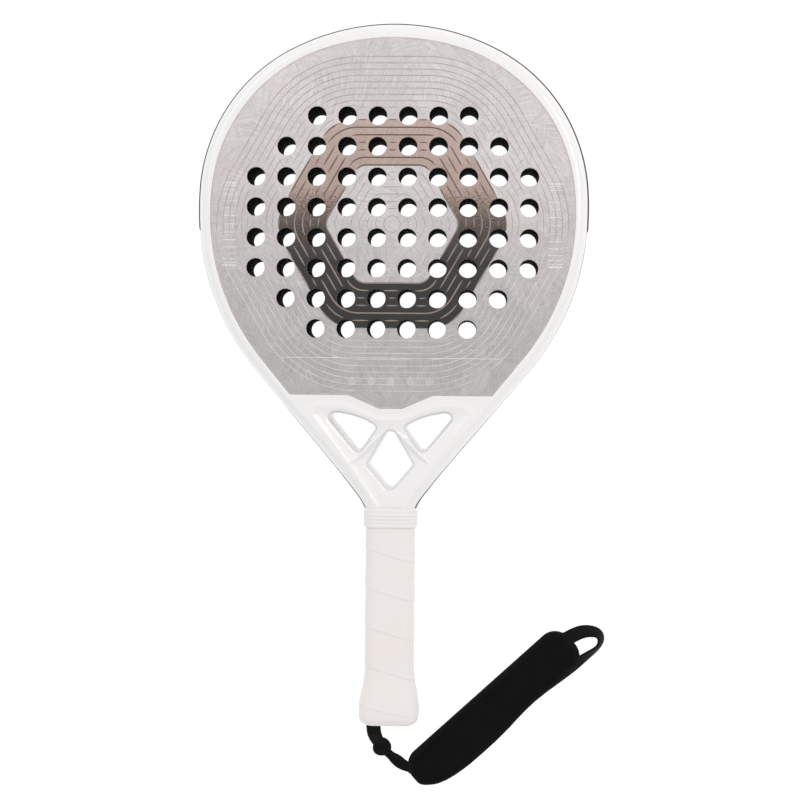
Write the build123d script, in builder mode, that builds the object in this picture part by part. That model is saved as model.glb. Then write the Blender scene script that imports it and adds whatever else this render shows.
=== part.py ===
from build123d import *
import math
import os

# Padel racket, lying on its back face. Millimetres.
# X runs across the head, Y from the butt to the head, Z up out of the back face.
# The origin is under the middle of the racket, on the surface that it lies on.

# ---- driving sizes: the head ----
LENGTH = 455.0
HEAD_WIDTH = 254.0
THICKNESS = 38.0
MID = THICKNESS / 2

RIM_TOP_RADIUS = 146.0
RIM_TOP_ANGLE = 62.0
RIM_SIDE_ANGLE = 4.5
RIM_LOWER_RADIUS = 167.0
RAIL_ANGLE = -40.0
RIM_EDGE_RADIUS = 5.0
TUBE_WALL = 2.2

FACE_TOP_MARGIN = 12.9
FACE_SIDE_MARGIN = 10.9
FACE_TOP_RADIUS = 142.0
FACE_TOP_ANGLE = 72.0
FACE_SIDE_ANGLE = 8.0
FACE_LOWER_RADIUS = 145.0
FACE_LOWER_ANGLE = -39.0
FACE_BOTTOM_DROP = 239.5
FACE_DIP = 8.4
FACE_DIP_HALF_TOP = 27.0
FACE_DIP_HALF_BOTTOM = 7.5
FACE_SHEET = 1.2

HOLE_DIAMETER = 11.75
HOLE_PITCH = 19.3
HOLE_ROWS = (6, 8, 10, 10, 10, 10, 8, 6)
HOLE_GRID_DROP = 129.9

STRIP_THICKNESS = 0.8
STRIP_WIDTH = 18.0
STRIP_CLEARANCE = 0.05
STRIP_END_DROP = 313.0

# ---- driving sizes: the throat ----
RAIL_WIDTH = 19.3
THROAT_RADIUS = 32.0
NECK_HALF_WIDTH = 14.3
NECK_HALF_DEPTH = 15.0
TAPER_DROP = 262.0
TAPER_RADIUS = 90.0
BRIDGE_THICKNESS = 33.0
WINDOW_OUTER_DROP = 11.8
WINDOW_ARCH = 2.3
WINDOW_INNER_X = 9.2
WINDOW_INNER_DROP = 20.5
WINDOW_POINT_DROP = 36.5
WINDOW_RADIUS = 2.6
EYE_TOP_DROP = 21.0
EYE_SIDE_DROP = 44.5
EYE_RADIUS = 3.0

# ---- driving sizes: the handle ----
SHELL_WALL = 1.8
SHELL_CLEARANCE = 0.1
SHELL_CORNER = 6.8
PRONG_HALF_DEPTH = 11.4
PRONG_SLIT = 3.0
BASE_GRIP = 1.6
OVERGRIP = 1.0
WRAP_CLEARANCE = 0.05
FLARE_HALF_WIDTH = 20.4
FLARE_HALF_DEPTH = 18.0
FLARE_START = 34.8
FLARE_FULL = 11.7
WRAP_END = 6.0
SEAT_GAP = 0.2
TAPE_LENGTH = 7.0
TAPE_THICKNESS = 0.25
COLLAR_LENGTH = 12.6
COLLAR_OVERLAP = 1.5
COLLAR_WALL = 1.1
COLLAR_CORNER = 7.5
COLLAR_RIBS = 4
COLLAR_RIB_HEIGHT = 0.45
CAP_SKIRT_START = 27.0
CAP_END_WALL = 5.0
CAP_EDGE_RADIUS = 4.5
CAP_POCKET_FLOOR = 13.0
PIN_DIAMETER = 3.0
PIN_CLEARANCE = 0.1
PIN_SETBACK = 9.4
STAPLE_DIAMETER = 1.0
STAPLE_LENGTH = 2.5
STAPLE_CLEARANCE = 0.05
STAPLE_SPACING = 10.0
SLOT_WIDTH = 11.0
SLOT_HEIGHT = 6.6

# ---- driving sizes: the wrist strap ----
WEBBING = 4.0
# Y here is measured from the butt end, towards the head.
STRAP_ROUTE = [
    (-9.7, 7.6, 19.0),
    (-9.5, -2.0, 18.4),
    (-8.0, -9.5, 12.6),
    (-5.0, -16.3, 6.6),
    (1.0, -22.3, 3.8),
    (9.0, -27.7, 2.4),
    (19.5, -34.1, 2.2),
    (34.0, -34.5, 2.2),
    (58.0, -15.5, 2.2),
    (82.0, 11.0, 2.2),
    (109.5, 32.0, 2.2),
    (130.0, 46.5, 2.3),
    (136.6, 54.5, 2.9),
    (134.6, 61.9, 4.0),
    (126.0, 63.9, 5.4),
    (119.4, 61.9, 6.6),
]
KNOT_CENTRE = (-5.0, -15.9, 7.0)
KNOT_RADII = (6.2, 6.4, 4.6)
KNOT_CLEARANCE = 0.1
FOLD_CENTRE = (5.8, -24.8)
FOLD_SIZE = (11.0, 7.0, 1.8)
FOLD_CORNER = 3.2
FOLD_TURN = -36.0
FOLD_LIFT = 6.4
CUFF_CENTRE = (68.8, 9.8)
CUFF_LENGTH = 140.0
CUFF_WIDTH = 29.0
CUFF_TURN = 42.7
CUFF_CORNER = 12.0
CUFF_LIFT = 4.5
CUFF_THICKNESS = 4.6
CUFF_LINING = 0.8
CUFF_BINDING = 3.4
SOFT_GAP = 0.3

# ---- values that follow ----
TOP = LENGTH / 2
BUTT = -LENGTH / 2
STRAP_POINTS = [(x, BUTT + y, z) for x, y, z in STRAP_ROUTE]
FACE_BOTTOM = TOP - FACE_BOTTOM_DROP
OVERGRIP_HALF_WIDTH = NECK_HALF_WIDTH + BASE_GRIP + OVERGRIP
SHELL_HALF_DEPTH = PRONG_HALF_DEPTH + SHELL_CLEARANCE + SHELL_WALL
PRONG_HALF_WIDTH = NECK_HALF_WIDTH - SHELL_WALL - SHELL_CLEARANCE
OVERGRIP_HALF_DEPTH = SHELL_HALF_DEPTH + BASE_GRIP + OVERGRIP
FRONT = THICKNESS


def side_radius(half_width, top_radius, top_angle, side_angle, lower_radius):
    """Radius of the middle arc that makes the outline as wide as asked."""
    top_cos = math.cos(math.radians(top_angle))
    side_cos = math.cos(math.radians(side_angle))
    reach = half_width - top_radius * top_cos - lower_radius * (1 - side_cos)
    return reach / (side_cos - top_cos)


def arc_chain(top, half_width, top_radius, top_angle, side_angle, lower_radius, lower_angle):
    """Centres, radii and angles of the three tangent arcs down the right side."""
    middle = side_radius(half_width, top_radius, top_angle, side_angle, lower_radius)
    first = Vector(0, top - top_radius)
    second = first + Vector(1, 0).rotate(Axis.Z, top_angle) * (top_radius - middle)
    third = second + Vector(1, 0).rotate(Axis.Z, side_angle) * (middle - lower_radius)
    return [
        (first, top_radius, 90.0, top_angle),
        (second, middle, top_angle, side_angle),
        (third, lower_radius, side_angle, lower_angle),
    ]


RIM_ARCS = arc_chain(
    TOP,
    HEAD_WIDTH / 2,
    RIM_TOP_RADIUS,
    RIM_TOP_ANGLE,
    RIM_SIDE_ANGLE,
    RIM_LOWER_RADIUS,
    RAIL_ANGLE,
)
FACE_ARCS = arc_chain(
    TOP - FACE_TOP_MARGIN,
    HEAD_WIDTH / 2 - FACE_SIDE_MARGIN,
    FACE_TOP_RADIUS,
    FACE_TOP_ANGLE,
    FACE_SIDE_ANGLE,
    FACE_LOWER_RADIUS,
    FACE_LOWER_ANGLE,
)


def arc_end(arcs, inset):
    """Where the lowest arc ends, with the outline moved inward by inset."""
    centre, radius, _, end = arcs[-1]
    return centre + Vector(1, 0).rotate(Axis.Z, end) * (radius - inset)


def down_the_side(angle):
    """Unit direction of the straight side under an outline's lowest arc."""
    return Vector(0, -1).rotate(Axis.Z, angle)


def draw_arcs(arcs, inset):
    for centre, radius, start, end in arcs:
        CenterArc((centre.X, centre.Y), radius - inset, end, start - end)


RAIL_NORMAL = Vector(1, 0).rotate(Axis.Z, RAIL_ANGLE)
RAIL_START = arc_end(RIM_ARCS, 0)
THROAT_CENTRE_X = NECK_HALF_WIDTH + THROAT_RADIUS
SHOULDER = (
    RAIL_START.Y
    + (THROAT_RADIUS - RAIL_NORMAL.X * (THROAT_CENTRE_X - RAIL_START.X)) / RAIL_NORMAL.Y
)
GRIP_TOP = SHOULDER - SEAT_GAP


def rail_inner_x(y):
    """X of the rail's inner edge, a line parallel to its outer one."""
    start = RAIL_START - RAIL_NORMAL * RAIL_WIDTH
    return start.X - (y - start.Y) * RAIL_NORMAL.Y / RAIL_NORMAL.X


def rail_inner_y(x):
    start = RAIL_START - RAIL_NORMAL * RAIL_WIDTH
    return start.Y - (x - start.X) * RAIL_NORMAL.X / RAIL_NORMAL.Y


def rim_outline(inset):
    """Head, rails and neck in plan, down to the shoulder, moved inward by inset."""
    start = arc_end(RIM_ARCS, inset)
    centre = Vector(THROAT_CENTRE_X, SHOULDER)
    meet = centre - RAIL_NORMAL * (THROAT_RADIUS + inset)
    neck = Vector(NECK_HALF_WIDTH - inset, SHOULDER)
    turn = 180 - (180 + RAIL_ANGLE)
    with BuildSketch() as plan:
        with BuildLine():
            draw_arcs(RIM_ARCS, inset)
            Line(start, meet)
            CenterArc((centre.X, centre.Y), THROAT_RADIUS + inset, 180 - turn, turn)
            Line(neck, (0, SHOULDER))
            mirror(about=Plane.YZ)
        make_face()
    return plan.sketch


def face_outline():
    """The playing face in plan, with the dip in the middle of its lower edge."""
    start = arc_end(FACE_ARCS, 0)
    along = down_the_side(FACE_LOWER_ANGLE)
    corner = start + along * ((FACE_BOTTOM - start.Y) / along.Y)
    with BuildSketch() as plan:
        with BuildLine():
            draw_arcs(FACE_ARCS, 0)
            Polyline(
                start,
                corner,
                (FACE_DIP_HALF_TOP, FACE_BOTTOM),
                (FACE_DIP_HALF_BOTTOM, FACE_BOTTOM - FACE_DIP),
                (0, FACE_BOTTOM - FACE_DIP),
            )
            mirror(about=Plane.YZ)
        make_face()
    return plan.sketch


def throat_area():
    """The triangle between the two rails, under the face."""
    with BuildSketch() as plan:
        with BuildLine():
            Polyline(
                (0, FACE_BOTTOM),
                (rail_inner_x(FACE_BOTTOM), FACE_BOTTOM),
                (0, rail_inner_y(0)),
            )
            mirror(about=Plane.YZ)
        make_face()
        fillet(plan.vertices().sort_by(Axis.Y)[0], EYE_RADIUS)
    return plan.sketch


def throat_openings():
    """Two arched triangles beside the struts and a rhombic eye between them."""
    outer_y = FACE_BOTTOM - WINDOW_OUTER_DROP
    outer = Vector(rail_inner_x(outer_y), outer_y)
    inner = Vector(WINDOW_INNER_X, FACE_BOTTOM - WINDOW_INNER_DROP)
    point_y = FACE_BOTTOM - WINDOW_POINT_DROP
    point = Vector(rail_inner_x(point_y), point_y)
    chord = (outer + inner) * 0.5
    arch = chord + (outer - inner).normalized().rotate(Axis.Z, 90) * WINDOW_ARCH
    eye_y = FACE_BOTTOM - EYE_SIDE_DROP
    eye_side = Vector(rail_inner_x(eye_y), eye_y)
    with BuildSketch() as windows:
        with BuildLine():
            ThreePointArc(outer, arch, inner)
            Polyline(inner, point, outer)
        make_face()
        fillet(windows.vertices(), WINDOW_RADIUS)
        mirror(about=Plane.YZ)
    with BuildSketch() as eye:
        with BuildLine():
            Polyline((0, FACE_BOTTOM - EYE_TOP_DROP), eye_side, (0, rail_inner_y(0)))
            mirror(about=Plane.YZ)
        make_face()
        fillet(eye.vertices(), EYE_RADIUS)
    with BuildSketch() as openings:
        add(windows.sketch)
        add(eye.sketch)
    return openings.sketch


def side_profile(inset):
    """Head and throat seen from the side: flat, then tapering to the neck."""
    high = MID - inset
    low = NECK_HALF_DEPTH - inset
    taper = TOP - TAPER_DROP
    with BuildSketch(Plane.YZ) as profile:
        with BuildLine():
            FilletPolyline(
                (TOP + THICKNESS, MID + high),
                (taper, MID + high),
                (SHOULDER, MID + low),
                (SHOULDER - THICKNESS, MID + low),
                radius=TAPER_RADIUS,
            )
            FilletPolyline(
                (TOP + THICKNESS, MID - high),
                (taper, MID - high),
                (SHOULDER, MID - low),
                (SHOULDER - THICKNESS, MID - low),
                radius=TAPER_RADIUS,
            )
            Line((TOP + THICKNESS, MID - high), (TOP + THICKNESS, MID + high))
            Line((SHOULDER - THICKNESS, MID - low), (SHOULDER - THICKNESS, MID + low))
        make_face()
    return profile.sketch


def handle_section(y, half_width, half_depth, corner):
    """A rounded rectangle across the handle at y."""
    with BuildSketch(Plane.XZ.offset(-y)) as section:
        with Locations((0, MID)):
            RectangleRounded(2 * half_width, 2 * half_depth, corner)
    return section.sketch


def hole_places():
    middle = TOP - HOLE_GRID_DROP
    places = []
    for row, count in enumerate(HOLE_ROWS):
        y = middle + ((len(HOLE_ROWS) - 1) / 2 - row) * HOLE_PITCH
        for column in range(count):
            places.append(((column - (count - 1) / 2) * HOLE_PITCH, y))
    return places


def face_with_holes():
    with BuildSketch() as plan:
        add(face_outline())
        with Locations(*hole_places()):
            Circle(HOLE_DIAMETER / 2, mode=Mode.SUBTRACT)
    return plan.sketch


def wrap_layers(inner):
    """Stations down the handle of a layer that lies inner millimetres under the overgrip's skin."""
    straight = (
        OVERGRIP_HALF_WIDTH - inner,
        OVERGRIP_HALF_DEPTH - inner,
        SHELL_CORNER + BASE_GRIP + OVERGRIP - inner,
    )
    flared = (
        FLARE_HALF_WIDTH - inner,
        FLARE_HALF_DEPTH - inner,
        SHELL_CORNER + BASE_GRIP + OVERGRIP - inner,
    )
    return [
        (GRIP_TOP, straight),
        (BUTT + FLARE_START, straight),
        (BUTT + FLARE_FULL, flared),
        (BUTT + WRAP_END, flared),
    ]


def layer_size(inner, y):
    """Half width, half depth and corner radius of a layer's outside at y."""
    stations = wrap_layers(inner)
    for (y_high, high), (y_low, low) in zip(stations, stations[1:]):
        if y >= y_low:
            share = (y_high - y) / (y_high - y_low)
            return [a + (b - a) * share for a, b in zip(high, low)]
    return stations[-1][1]


def layer_spans(inner, start, end):
    """Pairs of sections between start and end, where a layer's surface is straight."""
    turns = [y for y, _ in wrap_layers(inner) if end < y < start]
    edges = [start, *turns, end]
    spans = []
    for y_high, y_low in zip(edges, edges[1:]):
        spans.append([handle_section(y, *layer_size(inner, y)) for y in (y_high, y_low)])
    return spans


CAP_DEPTH = BASE_GRIP + OVERGRIP + 2 * WRAP_CLEARANCE
STAPLE_Y = BUTT + (CAP_SKIRT_START + CAP_POCKET_FLOOR) / 2
STAPLE_PLACES = ((-STAPLE_SPACING / 2, STAPLE_Y), (STAPLE_SPACING / 2, STAPLE_Y))
STAPLE_TOP = layer_size(CAP_DEPTH, STAPLE_Y)[1] - SHELL_CLEARANCE


def staple_holes():
    """Holes for the staples, cut from both faces of the part being made."""
    hole_depth = STAPLE_LENGTH + 2 * SHELL_CLEARANCE
    with BuildSketch(Plane.XY.offset(MID + STAPLE_TOP + SHELL_CLEARANCE)) as upper:
        with Locations(*STAPLE_PLACES):
            Circle(STAPLE_DIAMETER / 2 + STAPLE_CLEARANCE)
    with BuildSketch(Plane.XY.offset(MID - STAPLE_TOP - SHELL_CLEARANCE)) as lower:
        with Locations(*STAPLE_PLACES):
            Circle(STAPLE_DIAMETER / 2 + STAPLE_CLEARANCE)
    extrude(upper.sketch, amount=-hole_depth, mode=Mode.SUBTRACT)
    extrude(lower.sketch, amount=hole_depth, mode=Mode.SUBTRACT)


# ---- frame tube: hollow carbon rim, rails and handle prongs, moulded in one ----
with BuildPart() as cavity:
    with BuildSketch():
        add(rim_outline(TUBE_WALL))
        offset(face_outline(), amount=TUBE_WALL, kind=Kind.INTERSECTION, mode=Mode.SUBTRACT)
        offset(throat_area(), amount=TUBE_WALL, kind=Kind.INTERSECTION, mode=Mode.SUBTRACT)
    extrude(amount=THICKNESS)
    extrude(side_profile(TUBE_WALL), amount=HEAD_WIDTH, both=True, mode=Mode.INTERSECT)

with BuildPart() as frame_tube:
    extrude(rim_outline(0), amount=THICKNESS)
    extrude(side_profile(0), amount=HEAD_WIDTH, both=True, mode=Mode.INTERSECT)
    rim_edges = frame_tube.edges().filter_by(Axis.Z, reverse=True)
    fillet(rim_edges.filter_by_position(Axis.Y, SHOULDER + 1, TOP + 1), RIM_EDGE_RADIUS)
    extrude(face_outline(), amount=THICKNESS, mode=Mode.SUBTRACT)
    extrude(throat_area(), amount=THICKNESS, mode=Mode.SUBTRACT)
    prong_end = BUTT + CAP_POCKET_FLOOR + SEAT_GAP
    prong_corner = SHELL_CORNER - SHELL_WALL
    extrude(
        handle_section(SHOULDER, PRONG_HALF_WIDTH, PRONG_HALF_DEPTH, prong_corner),
        amount=SHOULDER - prong_end,
    )
    with BuildSketch(Plane.XZ.offset(-SHOULDER)):
        with Locations((0, MID)):
            Rectangle(PRONG_SLIT, THICKNESS)
    extrude(amount=SHOULDER - prong_end, mode=Mode.SUBTRACT)
    add(cavity.part, mode=Mode.SUBTRACT)
    bore_width = PRONG_HALF_WIDTH - PRONG_SLIT / 2 - 2 * TUBE_WALL
    with BuildSketch(Plane.XZ.offset(-SHOULDER - TUBE_WALL)):
        with Locations(
            ((PRONG_HALF_WIDTH - TUBE_WALL) - bore_width / 2, MID),
            (bore_width / 2 - (PRONG_HALF_WIDTH - TUBE_WALL), MID),
        ):
            Rectangle(bore_width, 2 * (PRONG_HALF_DEPTH - TUBE_WALL))
    extrude(amount=SHOULDER - prong_end, mode=Mode.SUBTRACT)
    groove = STRIP_THICKNESS + STRIP_CLEARANCE
    with BuildSketch(Plane.XY.offset(MID - STRIP_WIDTH / 2 - STRIP_CLEARANCE)):
        add(rim_outline(0))
        add(rim_outline(groove), mode=Mode.SUBTRACT)
        with Locations((0, TOP - STRIP_END_DROP)):
            Rectangle(
                2 * HEAD_WIDTH, LENGTH, align=(Align.CENTER, Align.MAX), mode=Mode.SUBTRACT
            )
    extrude(amount=STRIP_WIDTH + 2 * STRIP_CLEARANCE, mode=Mode.SUBTRACT)

# ---- side strip: dark band let into the groove round the rim's wall ----
with BuildPart() as side_strip:
    with BuildSketch(Plane.XY.offset(MID - STRIP_WIDTH / 2)):
        add(rim_outline(0))
        add(rim_outline(STRIP_THICKNESS), mode=Mode.SUBTRACT)
        with Locations((0, TOP - STRIP_END_DROP + STRIP_CLEARANCE)):
            Rectangle(
                2 * HEAD_WIDTH, LENGTH, align=(Align.CENTER, Align.MAX), mode=Mode.SUBTRACT
            )
    extrude(amount=STRIP_WIDTH)

# ---- throat bridge: yoke under the face with its two struts ----
with BuildPart() as throat_bridge:
    with BuildSketch(Plane.XY.offset(MID - BRIDGE_THICKNESS / 2)):
        add(throat_area())
        add(face_outline(), mode=Mode.SUBTRACT)
        add(throat_openings(), mode=Mode.SUBTRACT)
    extrude(amount=BRIDGE_THICKNESS)

# ---- foam core and the two face sheets, drilled together ----
with BuildPart() as foam_core:
    with BuildSketch(Plane.XY.offset(FACE_SHEET)):
        add(face_with_holes())
    extrude(amount=THICKNESS - 2 * FACE_SHEET)

with BuildPart() as face_sheet_back:
    extrude(face_with_holes(), amount=FACE_SHEET)

with BuildPart() as face_sheet_front:
    with BuildSketch(Plane.XY.offset(THICKNESS - FACE_SHEET)):
        add(face_with_holes())
    extrude(amount=FACE_SHEET)

# ---- handle spacer: foam strip between the two prongs ----
with BuildPart() as handle_spacer:
    with BuildSketch(Plane.XZ.offset(-SHOULDER + SEAT_GAP)):
        with Locations((0, MID)):
            Rectangle(PRONG_SLIT - 2 * SHELL_CLEARANCE, 2 * PRONG_HALF_DEPTH)
    extrude(amount=SHOULDER - SEAT_GAP - prong_end)

# ---- handle shells: front and back halves of the rounded handle casing ----
shell_halves = {}
for name, side in (("handle_shell_front", 1), ("handle_shell_back", -1)):
    with BuildPart() as shell:
        extrude(
            handle_section(GRIP_TOP, NECK_HALF_WIDTH, SHELL_HALF_DEPTH, SHELL_CORNER),
            amount=GRIP_TOP - prong_end,
        )
        extrude(
            handle_section(
                GRIP_TOP,
                PRONG_HALF_WIDTH + SHELL_CLEARANCE,
                PRONG_HALF_DEPTH + SHELL_CLEARANCE,
                prong_corner,
            ),
            amount=GRIP_TOP - prong_end,
            mode=Mode.SUBTRACT,
        )
        staple_holes()
        split_plane = Plane.XY.offset(MID + side * SHELL_CLEARANCE / 2)
        split(bisect_by=split_plane, keep=Keep.TOP if side > 0 else Keep.BOTTOM)
    shell_halves[name] = shell

# ---- butt cap: flared end with a pocket for the handle and a slot for the strap ----
with BuildPart() as butt_cap:
    cap_top = BUTT + CAP_SKIRT_START
    for ends in layer_spans(CAP_DEPTH, cap_top, BUTT + WRAP_END):
        loft(sections=ends, ruled=True)
    extrude(
        handle_section(
            BUTT + WRAP_END,
            FLARE_HALF_WIDTH,
            FLARE_HALF_DEPTH,
            SHELL_CORNER + BASE_GRIP + OVERGRIP,
        ),
        amount=WRAP_END,
    )
    end_edges = butt_cap.faces().sort_by(Axis.Y)[0].edges()
    fillet(end_edges, CAP_EDGE_RADIUS)
    extrude(
        handle_section(
            cap_top,
            NECK_HALF_WIDTH + SHELL_CLEARANCE,
            SHELL_HALF_DEPTH + SHELL_CLEARANCE,
            SHELL_CORNER,
        ),
        amount=CAP_SKIRT_START - CAP_POCKET_FLOOR,
        mode=Mode.SUBTRACT,
    )
    extrude(
        handle_section(
            BUTT + CAP_POCKET_FLOOR, PRONG_HALF_WIDTH, PRONG_HALF_DEPTH, prong_corner
        ),
        amount=CAP_POCKET_FLOOR - CAP_END_WALL,
        mode=Mode.SUBTRACT,
    )
    with BuildSketch(Plane.XZ.offset(-(BUTT + CAP_END_WALL))):
        with Locations((STRAP_ROUTE[0][0], MID)):
            RectangleRounded(SLOT_WIDTH, SLOT_HEIGHT, SLOT_HEIGHT / 2 - SHELL_CLEARANCE)
    extrude(amount=CAP_END_WALL, mode=Mode.SUBTRACT)
    with BuildSketch(Plane.YZ.offset(-FLARE_HALF_WIDTH)):
        with Locations((BUTT + PIN_SETBACK, MID)):
            Circle(PIN_DIAMETER / 2 + PIN_CLEARANCE)
    extrude(amount=2 * FLARE_HALF_WIDTH, mode=Mode.SUBTRACT)
    staple_holes()

# ---- anchor pin: rod across the cap that the strap is looped round ----
with BuildPart() as strap_anchor_pin:
    pin_half = FLARE_HALF_WIDTH - CAP_DEPTH - (FLARE_HALF_WIDTH - OVERGRIP_HALF_WIDTH) / 4
    with BuildSketch(Plane.YZ.offset(-pin_half)):
        with Locations((BUTT + PIN_SETBACK, MID)):
            Circle(PIN_DIAMETER / 2)
    extrude(amount=2 * pin_half)

# ---- cap staples: four short nails through the skirt into the shells ----
with BuildPart() as cap_staples:
    with BuildSketch(Plane.XY.offset(MID + STAPLE_TOP)) as nails:
        with Locations(*STAPLE_PLACES):
            Circle(STAPLE_DIAMETER / 2)
    extrude(nails.sketch, amount=-STAPLE_LENGTH)
    mirror(about=Plane.XY.offset(MID))

# ---- base grip and overgrip: sleeves wound on the shells and over the cap's flare ----
grip_layers = {}
layer_depths = (
    ("base_grip", OVERGRIP + WRAP_CLEARANCE, BASE_GRIP - 2 * WRAP_CLEARANCE),
    ("overgrip", 0, OVERGRIP),
)
for name, depth, wall in layer_depths:
    with BuildPart() as layer:
        for ends in layer_spans(depth, GRIP_TOP, BUTT + WRAP_END + SEAT_GAP):
            loft(sections=ends, ruled=True)
        for ends in layer_spans(depth + wall, GRIP_TOP, BUTT + WRAP_END + SEAT_GAP):
            loft(sections=ends, ruled=True, mode=Mode.SUBTRACT)
    grip_layers[name] = layer

# ---- finishing tape: thin band that ties down the overgrip's last turn ----
with BuildPart() as finishing_tape:
    tape_corner = SHELL_CORNER + BASE_GRIP + OVERGRIP
    tape_gap = WRAP_CLEARANCE + TAPE_THICKNESS
    extrude(
        handle_section(
            GRIP_TOP,
            OVERGRIP_HALF_WIDTH + tape_gap,
            OVERGRIP_HALF_DEPTH + tape_gap,
            tape_corner + tape_gap,
        ),
        amount=TAPE_LENGTH,
    )
    extrude(
        handle_section(
            GRIP_TOP,
            OVERGRIP_HALF_WIDTH + WRAP_CLEARANCE,
            OVERGRIP_HALF_DEPTH + WRAP_CLEARANCE,
            tape_corner + WRAP_CLEARANCE,
        ),
        amount=TAPE_LENGTH,
        mode=Mode.SUBTRACT,
    )

# ---- collar: ribbed rubber ring over the wraps' end and the neck ----
with BuildPart() as collar:
    collar_top = GRIP_TOP - COLLAR_OVERLAP + COLLAR_LENGTH
    bore_gap = 2 * WRAP_CLEARANCE + TAPE_THICKNESS + SEAT_GAP
    bore_size = (
        OVERGRIP_HALF_WIDTH + bore_gap,
        OVERGRIP_HALF_DEPTH + bore_gap,
        COLLAR_CORNER,
    )
    ring_size = [size + COLLAR_WALL for size in bore_size]
    rib_size = [size + COLLAR_RIB_HEIGHT for size in ring_size]
    extrude(handle_section(collar_top, *ring_size), amount=COLLAR_LENGTH)
    rib_pitch = COLLAR_LENGTH / (COLLAR_RIBS + 0.5)
    for rib in range(COLLAR_RIBS):
        rib_y = collar_top - rib_pitch * (rib + 0.5)
        extrude(handle_section(rib_y, *rib_size), amount=rib_pitch / 2)
    extrude(handle_section(collar_top, *bore_size), amount=COLLAR_LENGTH, mode=Mode.SUBTRACT)


# ---- wrist strap: webbing from the pin, under the cuff and round its end loop ----
def route_radii(points):
    """Each corner's radius: 0.45 of its shorter run over the tangent of half its turn."""
    radii = []
    for before, corner, after in zip(points, points[1:], points[2:]):
        run_in = Vector(*corner) - Vector(*before)
        run_out = Vector(*after) - Vector(*corner)
        turn = math.radians(run_in.get_angle(run_out))
        radii.append(0.45 * min(run_in.length, run_out.length) / math.tan(turn / 2))
    return radii


STRAP_RADII = route_radii(STRAP_POINTS)


def strap_tube(diameter):
    """A tube of the given diameter along the strap's route."""
    with BuildPart() as tube:
        with BuildLine():
            route = FilletPolyline(*STRAP_POINTS, radius=STRAP_RADII)
        with BuildSketch(Plane(origin=route @ 0, z_dir=route % 0)):
            Circle(diameter / 2)
        sweep(path=route)
    return tube.part, route.length


strap_solid, strap_length = strap_tube(WEBBING)
with BuildPart() as strap_webbing:
    add(strap_solid)

KNOT_X, KNOT_Y, KNOT_Z = KNOT_CENTRE
with BuildPart() as strap_knot:
    knot_tube, _ = strap_tube(WEBBING + 2 * KNOT_CLEARANCE)
    knot_ball = scale(Sphere(1, mode=Mode.PRIVATE), by=KNOT_RADII, mode=Mode.PRIVATE)
    add(Pos(KNOT_X, BUTT + KNOT_Y, KNOT_Z) * knot_ball)
    add(knot_tube, mode=Mode.SUBTRACT)

FOLD_X, FOLD_Y = FOLD_CENTRE
with BuildPart() as strap_fold:
    fold_plane = Plane((FOLD_X, BUTT + FOLD_Y, FOLD_LIFT)).rotated((0, 0, FOLD_TURN))
    with BuildSketch(fold_plane):
        RectangleRounded(FOLD_SIZE[0], FOLD_SIZE[1], FOLD_CORNER)
    extrude(amount=FOLD_SIZE[2])


# ---- cuff: foam pad, its lining and the binding sewn round both ----
def cuff_plane(lift):
    cuff_x, cuff_y = CUFF_CENTRE
    return Plane((cuff_x, BUTT + cuff_y, lift)).rotated((0, 0, CUFF_TURN))


with BuildPart() as cuff_lining:
    with BuildSketch(cuff_plane(CUFF_LIFT)):
        RectangleRounded(
            CUFF_LENGTH - 2 * CUFF_BINDING - 2 * SOFT_GAP,
            CUFF_WIDTH - 2 * CUFF_BINDING - 2 * SOFT_GAP,
            CUFF_CORNER - CUFF_BINDING - SOFT_GAP,
        )
    extrude(amount=CUFF_LINING)

with BuildPart() as cuff_pad:
    with BuildSketch(cuff_plane(CUFF_LIFT + CUFF_LINING + SOFT_GAP)):
        RectangleRounded(
            CUFF_LENGTH - 2 * CUFF_BINDING - 2 * SOFT_GAP,
            CUFF_WIDTH - 2 * CUFF_BINDING - 2 * SOFT_GAP,
            CUFF_CORNER - CUFF_BINDING - SOFT_GAP,
        )
    extrude(amount=CUFF_THICKNESS - CUFF_LINING - SOFT_GAP)

with BuildPart() as cuff_binding:
    with BuildSketch(cuff_plane(CUFF_LIFT)):
        RectangleRounded(CUFF_LENGTH, CUFF_WIDTH, CUFF_CORNER)
        RectangleRounded(
            CUFF_LENGTH - 2 * CUFF_BINDING,
            CUFF_WIDTH - 2 * CUFF_BINDING,
            CUFF_CORNER - CUFF_BINDING,
            mode=Mode.SUBTRACT,
        )
    extrude(amount=CUFF_THICKNESS)

# ---- written out, one piece to a file ----
PIECES = {
    "frame_tube": frame_tube,
    "side_strip": side_strip,
    "throat_bridge": throat_bridge,
    "foam_core": foam_core,
    "face_sheet_back": face_sheet_back,
    "face_sheet_front": face_sheet_front,
    "handle_spacer": handle_spacer,
    "handle_shell_front": shell_halves["handle_shell_front"],
    "handle_shell_back": shell_halves["handle_shell_back"],
    "base_grip": grip_layers["base_grip"],
    "overgrip": grip_layers["overgrip"],
    "finishing_tape": finishing_tape,
    "collar": collar,
    "butt_cap": butt_cap,
    "strap_anchor_pin": strap_anchor_pin,
    "cap_staples": cap_staples,
    "strap_webbing": strap_webbing,
    "strap_knot": strap_knot,
    "strap_fold": strap_fold,
    "cuff_lining": cuff_lining,
    "cuff_pad": cuff_pad,
    "cuff_binding": cuff_binding,
}
os.makedirs("parts", exist_ok=True)
for name, piece in PIECES.items():
    piece.part.label = name
    export_step(piece.part, f"parts/{name}.step")

section = math.pi * (WEBBING / 2) ** 2
print("shoulder y", round(SHOULDER, 2), "head side radius", round(RIM_ARCS[1][1], 1))
print("strap radii", [round(radius, 1) for radius in STRAP_RADII])
print("strap length", round(strap_length, 1))
print("strap volume over section times length", strap_webbing.part.volume / (section * strap_length))
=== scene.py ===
import math

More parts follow.
